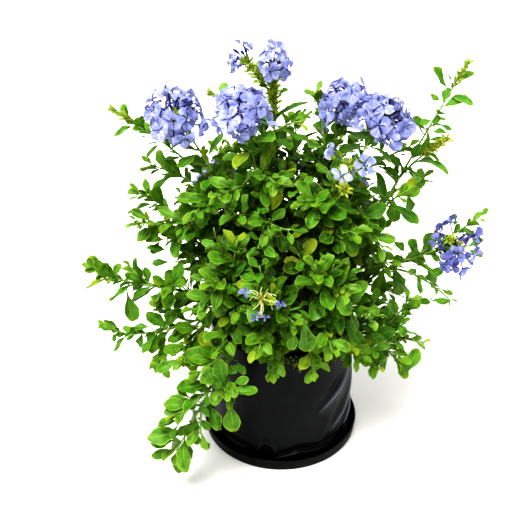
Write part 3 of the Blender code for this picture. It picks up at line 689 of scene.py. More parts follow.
def grow_shoots(space, mix_top):
    """Every cane's main shoot, then every side shoot, each clear of those before it."""
    mains = {}
    for cane in CANES:
        draws = Random(cane.name)
        foot = Vector((*cane.foot, mix_top))
        tip = Vector(cane.tip)
        out = tip - foot
        arch = CANE_ARCH * hypot(out.x, out.y)
        middle = foot + Vector((CANE_OUT * out.x, CANE_OUT * out.y, CANE_UP * out.z + arch))
        controls = [foot] + ([Vector(point) for point in cane.via] or [middle]) + [tip]
        mains[cane.name] = grow_shoot(
            space, draws, cane.name, "main", controls, CANE_RADIUS, cane.end, cane.size,
            ("potting_mix",), 0.0)
    shoots = list(mains.values())
    for cane in CANES:
        draws = Random(cane.name + " sides")
        for number, side in enumerate(cane.sides):
            main = mains[cane.name]
            start = stem_point(main, side.share)
            tip = Vector(side.tip)
            out = tip - start
            leave = (heading(main.controls, side.share) + out.normalized()).normalized()
            controls = [start, start + SIDE_BEND * out.length * leave, tip]
            shoots.append(grow_shoot(
                space, draws, cane.name, f"side{number}", controls, SHOOT_RADIUS, side.end,
                side.size, (cane.name + "main",), SIDE_JOIN))
    return shoots


def test_leaf(root, along, up, length, extra=0.0):
    """The packed model's leaf, which keeps the others clear of the fine one that stands there."""
    across = along.cross(up)

    def place(run, width, lift):
        sag = LEAF_DROOP * run * run / length
        return root + along * run + across * width + up * (lift - sag)

    neck, half = LEAF_NECK_SIZE / 2 + extra, LEAF_THICKNESS / 2 + extra
    points = [place(LEAF_NECK - 0.6 if extra else -LEAF_SUNK, 0.0, 0.0)]
    for side in (1, -1):
        points.append(place(LEAF_NECK, side * neck, -neck / 2))
        for share, width in LEAF_OUTLINE:
            wide = width * length
            points.append(place(share * length, side * (wide + extra), LEAF_FOLD * wide))
    steps = len(LEAF_OUTLINE) + 1
    tip, top_neck, top_rib, low_rib = range(1 + 2 * steps, 5 + 2 * steps)
    points += [place(length, 0.0, 0.0), place(LEAF_NECK, 0.0, neck), place(LEAF_RIB * length, 0.0, half),
               place(LEAF_RIB * length, 0.0, -half)]
    faces = [(0, 1 + steps, 1), (1, 1 + steps, low_rib)]
    for first, turn in ((1, 1), (1 + steps, -1)):
        edge = list(range(first, first + steps)) + [tip]
        found = [(0, edge[0], top_neck), (top_neck, edge[0], edge[1]), (top_neck, edge[1], top_rib)]
        found += [(top_rib, start, end) for start, end in zip(edge[1:], edge[2:])]
        found += [(low_rib, end, start) for start, end in zip(edge, edge[1:])]
        faces += [triple[::turn] for triple in found]
    return points, faces


def test_bud(root, along, length, radius):
    """The packed model's bud."""
    across, other = axes(along)
    points = [root, root + along * length]
    points += [root + 0.4 * length * along + radius * around(across, other, tau * side / 3)
               for side in range(3)]
    faces = []
    for side in range(3):
        here, after = 2 + side, 2 + (side + 1) % 3
        faces += [(0, after, here), (1, here, after)]
    return points, faces


def test_floret(hub, along, reach, spin, radius=FLORET_RADIUS, extra=0.0):
    """The packed model's corolla."""
    across = square_to(along, (cos(spin), sin(spin), 0.2))
    other = along.cross(across)

    def place(out, radius, angle):
        return hub + along * out + radius * around(across, other, angle)

    points = []
    for out in (HUB_RADIUS, reach - FLORET_THICKNESS - extra):
        points += [place(out, TUBE_RADIUS + extra, tau * side / 3) for side in range(3)]
    rim = len(points)
    for lobe in range(5):
        middle = tau * lobe / 5
        points.append(place(reach - GAP, LOBE_CLEFT * radius, middle - tau / 10))
        points.append(place(reach, radius + extra, middle - LOBE_HALF_ANGLE))
        points.append(place(reach, radius + extra, middle + LOBE_HALF_ANGLE))
    points.append(place(reach + GAP + extra, 0.0, 0.0))
    top = len(points) - 1
    count = top - rim
    faces = []
    for i in range(count):
        j = (i + 1) % count
        near, nearer = 3 + i * 3 // count, 3 + (i + 1) * 3 // count % 3
        faces += [(top, rim + i, rim + j), (near, rim + j, rim + i)]
        if near != nearer:
            faces.append((near, nearer, rim + j))
    for side in range(3):
        after = (side + 1) % 3
        faces += [(side, after, 3 + after), (side, 3 + after, 3 + side)]
    return points, faces


Floret = namedtuple("Floret", "centre way reach spin radius")
Leaf = namedtuple("Leaf", "shoot share way up length age")
Bud = namedtuple("Bud", "shoot share way length")


def place_florets(space, shoot):
    """The florets of the flower head at the end of a shoot."""
    bloom = BLOOMS[shoot.end]
    draws = Random(shoot.end)
    steps = max(2, round(shoot.length / RING_SPACING))
    along = (shoot.controls[-1] - bend(shoot.controls, 1 - 1 / steps)).normalized()
    centre = shoot.controls[-1] + along * (HUB_RADIUS + GAP)
    facing = Vector(bloom.facing).normalized()
    across, other = axes(facing)
    found = []
    for number in range(bloom.florets):
        open_share = bloom.bare + (1 - bloom.bare) * (number + 0.5) / bloom.florets
        from_axis = acos(1 - (1 - cos(radians(bloom.spread))) * open_share)
        reach = bloom.reach * draws.uniform(*FLORET_REACHES)
        spin = draws.uniform(0, tau)
        for attempt in range(FLORET_TRIES):
            turn = GOLDEN_TURN * number + FLORET_TURN_STEP * attempt * (-1) ** attempt
            out = from_axis + FLORET_TILT_STEP * attempt * (-1) ** (attempt // 2)
            way = aslant(facing, across, other, out, turn)
            radius = FLORET_RADIUS * bloom.size * (1 - FLORET_SHRINK * attempt)
            if space.is_clear(test_floret(centre, way, reach, spin, radius, FLORET_CLEARANCE)):
                space.fill(shoot.end, test_floret(centre, way, reach, spin, radius))
                found.append(Floret(centre, way, reach, spin, radius))
                break
    return found


def fill_florets(space, shoot, florets):
    """Smaller florets between those of the packed model, which only the scene shows."""
    bloom = BLOOMS[shoot.end]
    draws = Random(shoot.end + " fill")
    facing = Vector(bloom.facing).normalized()
    across, other = axes(facing)
    found = []
    for way, reach in STRAYS.get(shoot.end, ()):
        made = Floret(florets[0].centre, Vector(way).normalized(), reach, draws.uniform(0, tau), STRAY_RADIUS)
        if space.is_clear(test_floret(*made)):
            space.fill(shoot.end, test_floret(*made))
            found.append(made)
    for number in range(round(FILL_SHARES.get(shoot.end, 1.0) * bloom.florets)):
        for attempt in range(FLORET_TRIES):
            open_share = draws.uniform(bloom.bare, 1.0)
            out = acos(1 - (1 - cos(radians(bloom.spread))) * open_share)
            turn = draws.uniform(0, tau)
            way = aslant(facing, across, other, out, turn)
            radius = FLORET_RADIUS * bloom.size * (FILL_SIZE - FILL_SHRINK * attempt / FLORET_TRIES)
            reach, spin = bloom.reach * draws.uniform(*FILL_REACHES), draws.uniform(0, tau)
            made = test_floret(florets[0].centre, way, reach, spin, radius)
            if space.is_clear(made):
                space.fill(shoot.end, made)
                found.append(Floret(florets[0].centre, way, reach, spin, FILL_SCALE * radius))
                break
    return found


def place_buds(space, shoot):
    """The pointed buds or dry calyces along the last stretch of a shoot."""
    draws = Random(shoot.cane + shoot.label + " buds")
    found = []
    for number in range(BUDS[shoot.end]):
        share = 1.0 - (BUD_FIRST + BUD_SPACING * number) / shoot.length
        along = heading(shoot.controls, share)
        side = square_to(along, (1, 0, 0))
        other = along.cross(side)
        turn = GOLDEN_TURN * number
        lean = radians(BUD_LEAN + BUD_LEAN_STEP * number if shoot.end == "buds" else CALYX_LEAN)
        way = aslant(along, side, other, lean, turn)
        length = BUD_LENGTH * draws.uniform(*BUD_LENGTHS)
        made = test_bud(stem_point(shoot, share), way, length, BUD_RADIUS)
        if space.is_clear(made, (shoot.cane + shoot.label,)):
            found.append((Bud(shoot, share, way, length), made))
    for _, made in found:
        space.fill(shoot.cane, made)
    return [bud for bud, _ in found]


def place_leaf(space, shoot, back, turned, longest, lean, clearance=LEAF_CLEARANCE, roll=0.0):
    """The leaf this far back from the tip, turned until it meets nothing, or None."""
    share = 1.0 - back / shoot.length
    along = heading(shoot.controls, share)
    root = stem_point(shoot, share)
    side = square_to(along, (0, 0, 1) if abs(along.z) < 0.7 else (1, 0, 0))
    other = along.cross(side)
    outward = Vector((root.x, root.y, 0)) / BUSH_RADIUS
    for attempt in range(LEAF_TRIES):
        turn = turned + LEAF_TURN_STEP * ((attempt + 1) // 2) * (-1) ** attempt
        length = longest * (1 - LEAF_SHRINK * attempt)
        way = aslant(along, side, other, lean, turn)
        way = (way + LEAF_OUTWARD * outward).normalized()
        up = square_to(way, Vector((0, 0, 1)) + 0.6 * along + 0.3 * outward)
        up = around(up, way.cross(up), roll)
        tested = test_leaf(root, way, up, length, clearance)
        if min(point.z for point in tested[0]) < LOWEST_LEAF:
            continue
        if space.is_clear(tested, (shoot.cane + shoot.label,)):
            space.fill(shoot.cane, test_leaf(root, way, up, length))
            return Leaf(shoot, share, way, up, length, max(0.0, 1.0 - back / LEAF_GROWN_AT))
    return None


def grow_leaf(space, shoot, number, clearance=LEAF_CLEARANCE):
    """The leaf at this step back from the tip of the shoot, or None."""
    draws = Random(f"{shoot.cane} {shoot.label} {number}")
    back = LEAF_STEPS[number]
    grown = min(1.0, back / LEAF_GROWN_AT)
    usual = LEAF_YOUNGEST + (LEAF_LONGEST - LEAF_YOUNGEST) * grown
    longest = shoot.size * usual * draws.uniform(*LEAF_SIZES)
    spread = draws.uniform(-LEAF_LEAN_SPREAD, LEAF_LEAN_SPREAD)
    lean = radians(LEAF_LEAN + LEAF_LEAN_GROWN * grown + spread)
    return place_leaf(space, shoot, back, GOLDEN_TURN * number, longest, lean, clearance)


def leaf_numbers(shoot, every=2):
    """The steps back from the tip that carry a leaf of the packed model, or with every=1 all of them."""
    bare = BARE_TIP.get(shoot.end, BARE_UNDER_BLOOM)
    reach = (LEAFY_SHARE_OF_MAIN if shoot.label == "main" else LEAFY_SHARE_OF_SIDE) * shoot.length
    if every == 1:
        return [n for n, back in enumerate(LEAF_STEPS) if bare <= back <= reach]
    limit = LEAVES_ON_MAIN if shoot.label == "main" else LEAVES_ON_SIDE
    return [n for n in range(1, limit + 1, every) if bare <= LEAF_STEPS[n] <= reach]


def axil_leaves(space, leaf):
    """The small leaves that stand in the angle between a leaf and its stem."""
    back = (1 - leaf.share) * leaf.shoot.length
    draws = Random(f"{leaf.shoot.cane} {leaf.shoot.label} axil {back:.1f}")
    along = heading(leaf.shoot.controls, leaf.share)
    side = square_to(along, (0, 0, 1) if abs(along.z) < 0.7 else (1, 0, 0))
    bearing = atan2(leaf.way.dot(along.cross(side)), leaf.way.dot(side))
    found = []
    for turn in (-AXIL_TURN, AXIL_TURN):
        longest = leaf.length * draws.uniform(*AXIL_SIZE)
        lean = radians(draws.uniform(*AXIL_LEAN))
        made = place_leaf(space, leaf.shoot, back - AXIL_STEP, bearing + turn, longest, lean, FILL_CLEARANCE,
                          draws.gauss(0, LEAF_ROLL))
        if made:
            found.append(made._replace(age=draws.uniform(*AXIL_AGES)))
    return found


def core_depth(point):
    """How deep a point is in the bush: 1 in its middle, 0 at its outside and below 0 beyond it."""
    off = [(value - middle) / radius for value, middle, radius in zip(point, CORE_CENTRE, CORE_RADII)]
    return 1 - sqrt(sum(value * value for value in off))


def grow_twigs(space, shoot, curve):
    """Short twigs from the axils of a shoot, which fill the bush. Only the scene shows them."""
    draws = Random(f"{shoot.cane} {shoot.label} twigs")
    found = []
    back, number = TWIG_FIRST * draws.uniform(0.7, 1.3), 0
    while back < TWIG_REACH * shoot.length:
        share = 1 - back / shoot.length
        root, along = bend(curve, share), heading(curve, share)
        side = square_to(along, (1, 0, 0))
        for attempt in range(TWIG_TRIES):
            turn = GOLDEN_TURN * (number + attempt) + draws.uniform(-TWIG_TURN, TWIG_TURN)
            lean = radians(draws.uniform(*TWIG_LEAN))
            way = aslant(along, side, along.cross(side), lean, turn)
            way = (way + TWIG_OUTWARD * Vector((root.x, root.y, 0)) / BUSH_RADIUS).normalized()
            length = draws.uniform(*TWIG_LENGTH)
            if core_depth(root) < 0:
                length *= TWIGGY_OUTSIDE.get(shoot.cane, 1.0)
            middle = root + 0.5 * length * way
            tip = middle + 0.5 * length * (way + Vector((0, 0, TWIG_RISE))).normalized()
            if (core_depth(tip) < TWIG_DEPTH or tip.x > TWIGS_UP_TO) and shoot.cane not in TWIGGY_OUTSIDE:
                continue
            twig = Shoot(shoot.cane, f"{shoot.label} twig{number}", [root, middle, tip],
                         run_length([root, middle, tip]), TWIG_RADIUS, "leaves")
            if space.is_clear(shoot_tube(twig, FILL_CLEARANCE, TWIG_JOIN), (shoot.cane + shoot.label,)):
                space.fill(twig.cane + twig.label, shoot_tube(twig))
                found.append(twig)
                break
        back += TWIG_SPACING * draws.uniform(0.8, 1.25)
        number += 1
    return found


def twig_leaves(space, twig):
    """The leaves of a twig."""
    draws = Random(f"{twig.cane} {twig.label} leaves")
    found = []
    for number, back in enumerate(TWIG_LEAVES):
        if back > twig.length - 3:
            break
        grown = min(1.0, back / TWIG_GROWN_AT)
        longest = draws.uniform(*TWIG_LEAF_YOUNG) + grown * draws.uniform(*TWIG_LEAF_GAIN)
        spread = draws.uniform(-LEAF_LEAN_SPREAD, LEAF_LEAN_SPREAD)
        lean = radians(TWIG_LEAF_LEAN + grown * TWIG_LEAF_LEAN_GROWN + spread)
        made = place_leaf(space, twig, back, GOLDEN_TURN * number, longest, lean, FILL_CLEARANCE,
                          draws.gauss(0, LEAF_ROLL))
        if made:
            found.append(made._replace(age=draws.uniform(0.0, 0.5) if number < 2 else 0.0))
    return found


def blade_frame(base, tip):
    """Where a leaf that is set one by one starts, its direction, its upper side and its length."""
    base, tip = Vector(base), Vector(tip)
    way = (tip - base).normalized()
    return base, way, square_to(way, SET_LEAF_UP), (tip - base).length


def set_leaves(cane):
    """The shoot's label, the base and the tip of each leaf of the cane that is set one by one."""
    for label, *rows in SET_LEAVES.get(cane, ()):
        for row in rows:
            yield label, row[:3], row[3:]


def leaf_tip(leaf):
    """The point that the leaf would end at if it were straight."""
    return bend(leaf.shoot.controls, leaf.share) + leaf.length * leaf.way


def among_calyces(leaf):
    """Whether the leaf stands where its shoot is set with calyces, below a flower head."""
    return (1 - leaf.share) * leaf.shoot.length < SPIKES.get(leaf.shoot.end, 0)


Plant = namedtuple("Plant", "shoots curves florets buds leaves")


@functools.cache
def plant():
    """Where all of it stands: first as the packed model has it, then the leaves that only show here."""
    space = Space()
    for name in ("saucer", "grow_bag", "potting_mix"):
        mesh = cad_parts[name].data
        points = [corner.co / MM for corner in mesh.vertices]
        space.fill(name, (points, [tuple(face.vertices) for face in mesh.polygons]))
    shoots = grow_shoots(space, MIX_TOP)
    florets = {shoot.end: place_florets(space, shoot) for shoot in shoots if shoot.end in BLOOMS}
    for shoot in shoots:
        if shoot.end in BLOOMS:
            florets[shoot.end] += fill_florets(space, shoot, florets[shoot.end])
    buds = [bud for shoot in shoots if shoot.end in ("buds", "calyces") for bud in place_buds(space, shoot)]
    leaves = []
    for shoot in shoots:
        leaves += [grow_leaf(space, shoot, number) for number in leaf_numbers(shoot)]
    for cane in SET_LEAVES:
        for _, base, tip in set_leaves(cane):
            base, way, up, length = blade_frame(base, tip)
            space.fill(cane, test_leaf(base, way, up, length))
    for shoot in shoots:
        rest = sorted(set(leaf_numbers(shoot, 1)) - set(leaf_numbers(shoot)))
        leaves += [grow_leaf(space, shoot, number, FILL_CLEARANCE) for number in rest]
    leaves = [leaf for leaf in leaves if leaf and leaf_tip(leaf).y > FRONT_MOST]
    curves = {(shoot.cane, shoot.label): shoot.controls for shoot in shoots}
    for cane in CANES:
        for number, side in enumerate(cane.sides):
            curve = curves[cane.name, f"side{number}"]
            curves[cane.name, f"side{number}"] = [bend(curves[cane.name, "main"], side.share)] + curve[1:]
    twigs = [twig for shoot in shoots if shoot.cane not in TWIGLESS_CANES
             for twig in grow_twigs(space, shoot, curves[shoot.cane, shoot.label])]
    curves.update({(twig.cane, twig.label): twig.controls for twig in twigs})
    for leaf in list(leaves):
        if leaf.length > AXIL_FROM and leaf.shoot.cane not in BARE_CANES and not among_calyces(leaf):
            leaves += axil_leaves(space, leaf)
    for twig in twigs:
        leaves += twig_leaves(space, twig)
    return Plant(shoots + twigs, curves, florets, buds, leaves)


# Pieces and materials

class Batch:
    """Points in millimetres, faces and what the materials read at each point, gathered for one piece."""

    def __init__(self):
        self.points, self.faces, self.slots, self.place, self.look = [], [], [], [], []

    def add(self, points, faces, slot=0, place=None, look=(0.0, 0.5, 0.0)):
        """place is (across, along, 0) at each point, and look (age, tone, fade) of all or of each."""
        base = len(self.points)
        self.points += points
        self.faces += [tuple(base + corner for corner in face) for face in faces]
        self.slots += [slot] * len(faces)
        self.place += place or [(0.0, 0.0, 0.0)] * len(points)
        self.look += look if isinstance(look, list) else [look] * len(points)

    def make(self, name, materials, record_slot, *nodes):
        """The piece, in metres, which rides on the part and stands for these packed nodes."""
        mesh = bpy.data.meshes.new(name)
        mesh.from_pydata([Vector(point) * MM for point in self.points], [], self.faces)
        for label, values in (("place", self.place), ("look", self.look)):
            attribute = mesh.attributes.new(label, "FLOAT_VECTOR", "POINT")
            attribute.data.foreach_set("vector", np.array(values, np.float32).ravel())
        for finish in materials:
            mesh.materials.append(finish)
        mesh.polygons.foreach_set("material_index", self.slots)
        mesh.shade_smooth()
        piece = bpy.data.objects.new(name, mesh)
        bpy.context.scene.collection.objects.link(piece)
        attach(piece, "root")
        if nodes:
            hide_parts(*nodes)
        return piece


def linear(colour):
    """The linear red, green and blue of an sRGB hex value."""
    found = []
    for at in (1, 3, 5):
        value = int(colour[at:at + 2], 16) / 255
        found.append(value / 12.92 if value <= 0.04045 else ((value + 0.055) / 1.055) ** 2.4)
    return found


def per_mm(size):
    """The texture scale whose pattern repeats about once in this many millimetres."""
    return 1.0 / (size * MM)


# What this file always sets on these kinds of node
USUAL_SETTINGS = {"Math": {"operation": "MULTIPLY"}, "Mix": {"data_type": "RGBA"},
                  "MapRange": {"interpolation_type": "SMOOTHSTEP"}}


def add_node(tree, kind, *values, named=None, output=None, **settings):
    """Adds a node with these settings. Its inputs, taken in order or by name, are linked to a socket or
    set to a value. Returns its first output or the named one."""
    made = tree.nodes.new("ShaderNode" + kind)
    for name, value in {**USUAL_SETTINGS.get(kind, {}), **settings}.items():
        setattr(made, name, value)
    inputs = list(zip([socket for socket in made.inputs if socket.enabled], values))
    inputs += [(made.inputs[name], value) for name, value in (named or {}).items()]
    for socket, value in inputs:
        if isinstance(value, NodeSocket):
            tree.links.new(value, socket)
        else:
            socket.default_value = (*value, 1.0) if socket.type == "RGBA" else value
    if output:
        return made.outputs[output]
    return next((socket for socket in made.outputs if socket.enabled), None)


def new_material(name):
    """An empty node material, and the function that adds nodes to it."""
    made = bpy.data.materials.new(name)
    made.use_nodes = True
    made.node_tree.nodes.clear()
    return made, functools.partial(add_node, made.node_tree)


def mottle(add, size, detail=3.0, stretch=None):
    """Noise from 0 to 1 whose patches are about this many millimetres across."""
    place = add("TexCoord", output="Object")
    if stretch:
        place = add("Mapping", named={"Vector": place, "Scale": stretch})
    return add("TexNoise",
               named={"Vector": place, "Scale": per_mm(size), "Detail": detail, "Roughness": 0.55})


def read_values(add):
    """The sockets across, along, age, tone and fade that Batch gave each point."""
    found = []
    for label in ("place", "look"):
        vector = add("Attribute", output="Vector", attribute_name=label)
        found += add("SeparateXYZ", vector).node.outputs[:3]
    across, along, _, age, tone, fade = found
    return across, along, age, tone, fade


def finish_surface(add, colour, height, roughness, depth, strength=1.0, sheen=0.5, through=None, share=0.0):
    """Ends the material: a coated surface with this relief in mm, and light let through if asked."""
    relief = add("Bump", named={"Height": height, "Distance": depth * MM, "Strength": strength})
    surface = add("BsdfPrincipled", named={
        "Base Color": colour, "Roughness": roughness, "Specular IOR Level": sheen, "Normal": relief})
    if through:
        glow = add("BsdfTranslucent", named={"Color": through, "Normal": relief})
        surface = add("MixShader", share, surface, glow)
    add("OutputMaterial", surface)


def leaf_material():
    # Plumbago leaf: a soft blade with a thin cuticle. It has a broad weak sheen, a pale rib and an edge
    # that a painted highlight pales. Painted shade darkens it the deeper it stands in the bush, and it glows
    # yellow-green where light comes through it.
    props = bpy.context.scene.plumbago_leaves
    made, add = new_material("plumbago_leaf")
    across, along, age, tone, fade = read_values(add)
    aside = add("Math", across, operation="ABSOLUTE")
    body = add("Mix", age, props.mature, props.young)
    # Painted shade: the tone, which make_cane sets from how deep the leaf stands in the bush, darkens the
    # leaf
    body = add("Mix", add("MapRange", tone, 0.05, 1.0, 0.0, 0.95), body, props.deep)
    patches = mottle(add, 7.0)
    body = add("Mix", add("MapRange", patches, 0.38, 0.68, 0.0, 0.55), body, props.young)
    body = add("Mix", add("MapRange", mottle(add, 9.0), 0.47, 0.70, 0.0, 0.6), body, props.deep)
    body = add("Mix", add("Math", fade, add("MapRange", patches, 0.3, 0.6, 0.4, 1.0)),
               body, props.yellowed)
    rib = add("Math", add("MapRange", aside, 0.13, 0.02), add("MapRange", along, 1.0, 0.55))
    slant = add("Math", add("Math", along, 7.0), add("Math", aside, 1.3), operation="SUBTRACT")
    comb = add("Math", slant, 0.5, operation="PINGPONG")
    side_vein = add("Math", add("MapRange", comb, 0.10, 0.0), add("MapRange", aside, 0.95, 0.5))
    vein = add("Math", rib, add("Math", side_vein, 0.35), operation="MAXIMUM")
    body = add("Mix", add("Math", vein, 0.28), body, props.vein)
    # Painted highlight: the edge of the blade is paled
    body = add("Mix", add("MapRange", aside, 0.78, 1.0, 0.0, 0.40), body, props.vein)
    body = add("Mix", add("Math", add("MapRange", along, 0.80, 1.0, 0.0, 0.5), patches),
               body, props.yellowed)
    through = add("Mix", 0.45, body, props.glow)
    height = add("Math", add("Math", patches, 0.5), vein, operation="SUBTRACT")
    finish_surface(add, body, height, add("MapRange", patches, 0.3, 0.7, 0.40, 0.52), 0.35, 0.6, 0.22,
                   through, 0.25)
    return made


def stem_material():
    # Young plumbago wood: green and ridged near the tip, and brown bark with pale pores lower down
    props = bpy.context.scene.plumbago_leaves
    made, add = new_material("plumbago_stem")
    across, along, age, tone, fade = read_values(add)
    streaks = mottle(add, 2.5, 4.0, (1.0, 1.0, 0.15))
    bark = add("Mix", add("MapRange", streaks, 0.35, 0.7), props.bark, props.bark_pale)
    body = add("Mix", add("MapRange", age, 0.15, 0.7), bark, props.stem)
    body = add("Mix", add("MapRange", streaks, 0.45, 0.8, 0.0, 0.35), body, props.vein)
    finish_surface(add, body, streaks, 0.55, 0.2, 0.6, 0.35)
    return made


def calyx_material():
    # Calyx: a thin ribbed green tube set with sticky glands, so its ribs and tips are yellower and shine
    props = bpy.context.scene.plumbago_flowers
    made, add = new_material("plumbago_calyx")
    across, along, age, tone, fade = read_values(add)
    ribs = add("Math", add("Math", across, 5.0), 0.5, operation="PINGPONG")
    body = add("Mix", add("MapRange", ribs, 0.1, 0.4, 0.0, 0.6), props.calyx, props.calyx_pale)
    body = add("Mix", add("MapRange", along, 0.55, 1.0, 0.0, 0.4), body, props.calyx_pale)
    body = add("Mix", tone, body, props.calyx_pale)
    body = add("Mix", age, body, props.spent)
    body = add("Mix", fade, body, props.bleached)
    finish_surface(add, body, ribs, 0.38, 0.15, 0.5, 0.4, body, 0.3)
    return made


def petal_material():
    # Petal: a very thin lobe with a velvety surface, so it hardly shines and light comes through it.
    # A darker line runs down its middle, and it pales towards its edge and its throat.
    props = bpy.context.scene.plumbago_flowers
    made, add = new_material("plumbago_petal")
    across, along, age, tone, fade = read_values(add)
    aside = add("Math", across, operation="ABSOLUTE")
    body = add("Mix", tone, props.petal, props.petal_pale)
    body = add("Mix", add("MapRange", mottle(add, 6.0, 2.0), 0.38, 0.66, 0.0, 0.52), body, props.stripe)
    veins = add("Math", add("Math", across, 4.5), 0.5, operation="PINGPONG")
    fan = add("Math", add("MapRange", veins, 0.14, 0.0), add("MapRange", along, 1.0, 0.4))
    body = add("Mix", add("Math", fan, 0.42), body, props.stripe)
    line = add("Math", add("MapRange", aside, 0.12, 0.03), add("MapRange", along, 0.98, 0.6))
    body = add("Mix", add("Math", line, 0.8), body, props.stripe)
    body = add("Mix", add("MapRange", along, 0.16, 0.0, 0.0, 0.7), body, props.petal_pale)
    body = add("Mix", fade, body, props.petal_white)
    body = add("Mix", age, body, props.tube)
    crinkle = mottle(add, 1.6)
    height = add("Math", add("Math", crinkle, 0.5),
                 add("Math", line, fan, operation="MAXIMUM"), operation="SUBTRACT")
    finish_surface(add, body, height, 0.62, 0.18, 0.5, 0.25, add("Mix", 0.3, body, props.petal), 0.42)
    return made


def film_material():
    # Low-density polythene film: blown, pigmented black and soft. It has a satin sheen that breaks up
    # over fine wrinkles, with a little dust and scuffing, and a painted highlight pales it along sharp folds.
    props = bpy.context.scene.plumbago_bag
    made, add = new_material("polythene_film")
    across, along, age, tone, fade = read_values(add)
    wrinkles = mottle(add, 22.0, 4.0, (1.0, 1.0, 0.35))
    grain = mottle(add, 1.4, 2.0)
    scuffs = mottle(add, 30.0, 6.0)
    body = add("Mix", add("MapRange", scuffs, 0.5, 0.8, 0.0, 0.5), props.film, props.dust)
    # Painted highlight: paler film along the crests of sharp folds and over their gentle side
    body = add("Mix", tone, body, props.crease)
    rough = add("MapRange", scuffs, 0.3, 0.7, 0.26, 0.36)
    height = add("Math", wrinkles, add("Math", grain, 0.03), operation="ADD")
    finish_surface(add, body, height, rough, 1.2, 0.4, 0.13)
    return made


def saucer_material():
    # Polypropylene: injection-moulded and black, satin from a fine spark texture, with faint scratches
    props = bpy.context.scene.plumbago_saucer
    made, add = new_material("polypropylene_black")
    spark = mottle(add, 0.7, 2.0)
    wear = mottle(add, 18.0, 6.0)
    body = add("Mix", add("MapRange", wear, 0.5, 0.8, 0.0, 0.6), props.colour, props.scuffed)
    finish_surface(add, body, spark, add("MapRange", wear, 0.3, 0.7, 0.30, 0.44), 0.06, 0.5, 0.14)
    return made


def mix_material():
    # Potting mix: dark moist peat with bits of composted bark, so it is matt, crumbly and uneven
    props = bpy.context.scene.plumbago_mix
    made, add = new_material("potting_mix")
    across, along, age, tone, fade = read_values(add)
    crumbs = mottle(add, 2.2, 5.0)
    body = add("Mix", add("MapRange", crumbs, 0.3, 0.7), props.peat, props.bark)
    body = add("Mix", tone, body, props.chip)
    finish_surface(add, body, crumbs, 0.9, 1.0, 0.9, 0.2)
    return made


def litter_material():
    # Moss and old leaf scraps on the rim: dry and matt, from dull green to straw
    props = bpy.context.scene.plumbago_mix
    made, add = new_material("moss_and_litter")
    across, along, age, tone, fade = read_values(add)
    specks = mottle(add, 1.5, 3.0)
    body = add("Mix", tone, props.moss, props.straw)
    body = add("Mix", add("MapRange", specks, 0.45, 0.7, 0.0, 0.6), body, props.peat)
    finish_surface(add, body, specks, 0.8, 0.3, 0.6, 0.25, body, 0.15)
    return made


def floor_material():
    # Matt painted board, white and very slightly uneven, with painted shade that darkens it near the plant
    # and fades out to white further off
    props = bpy.context.scene.plumbago_studio
    made, add = new_material("studio_floor")
    grain = mottle(add, 60.0, 2.0)
    body = add("Mix", add("MapRange", grain, 0.3, 0.7), props.floor, props.floor_shade)
    away = add("VectorMath", add("TexCoord", output="Object"), operation="LENGTH")
    # Painted shade: darker near the plant, paling to white away from it
    body = add("Mix", add("MapRange", away, FLOOR_SHADE_FADES_FROM, FLOOR_SHADE_FADES_TO), body, props.floor_far)
    finish_surface(add, body, grain, 0.85, 0.1, 0.1, 0.1)
    return made


# Saucer, bag and mix

def ring(radius, height, steps):
    """Points round the Z axis."""
    angles = [tau * step / steps for step in range(steps)]
    return [(radius * cos(angle), radius * sin(angle), height) for angle in angles]


def turned_piece(batch, profile, segments):
    """A surface turned round the Z axis from a profile of (radius, height), both ends on the axis."""
    points = [(0.0, 0.0, profile[0][1]), (0.0, 0.0, profile[-1][1])]
    rings = profile[1:-1]
    for radius, height in rings:
        points += ring(radius, height, segments)
    faces = []
    for step in range(segments):
        after = (step + 1) % segments
        faces.append((0, 2 + after, 2 + step))
        for low in range(2, 2 + (len(rings) - 1) * segments, segments):
            faces.append((low + step, low + after, low + segments + after, low + segments + step))
        last = 2 + (len(rings) - 1) * segments
        faces.append((1, last + step, last + after))
    batch.add(points, faces)


def arc(centre, radius, first, last, steps):
    """Points round an arc of a profile, between two angles in degrees."""
    found = []
    for step in range(steps + 1):
        angle = radians(first + (last - first) * step / steps)
        found.append((centre[0] + radius * cos(angle), centre[1] + radius * sin(angle)))
    return found


def make_saucer():
    """The saucer's profile with its moulded corners, its rolled rim and a shallow ring under the bag."""
    rim, wall, top = SAUCER_RADIUS, SAUCER_WALL, SAUCER_HEIGHT
    inside = rim - wall
    profile = [(0.0, 0.0), (rim - SAUCER_FOOT_INSET - 1.5, 0.0)]
    profile += arc((rim - SAUCER_FOOT_INSET, SAUCER_FLARE), SAUCER_FLARE, -90, -25, 5)
    profile += [(rim - 1.6, top - 3.4), (rim - 0.7, top - 2.6)]
    profile += arc((rim - 1.1, top - 1.1), 1.1, -20, 170, 9)
    profile += [(inside - 0.6, top - 2.4), (inside - SAUCER_FLARE, 2 * wall)]
    profile += arc((inside - SAUCER_FLARE - 3.4, wall + 3.4), 3.4, -28, -90, 4)
    for ring in (62.0, 44.0, 26.0):
        profile += [(ring + 1.2, wall), (ring + 0.5, wall + 0.25), (ring - 0.5, wall + 0.25),
                    (ring - 1.2, wall)]
    profile.append((0.0, wall))
    batch = Batch()
    turned_piece(batch, profile, SAUCER_STEPS)
    return batch.make("saucer_moulded", [saucer_material()], "saucer_plastic", "saucer")


def apart(first, second):
    """The angle in degrees from the second bearing to the first, the short way round."""
    return (first - second + 180) % 360 - 180


def along_table(table, at):
    """The value that a table of (place, value) holds at this place, smoothly from one row to the next."""
    if at <= table[0][0]:
        return table[0][1]
    for (low, first), (high, second) in zip(table, table[1:]):
        if at <= high:
            share = (at - low) / (high - low)
            return first + (second - first) * share * share * (3 - 2 * share)
    return table[-1][1]


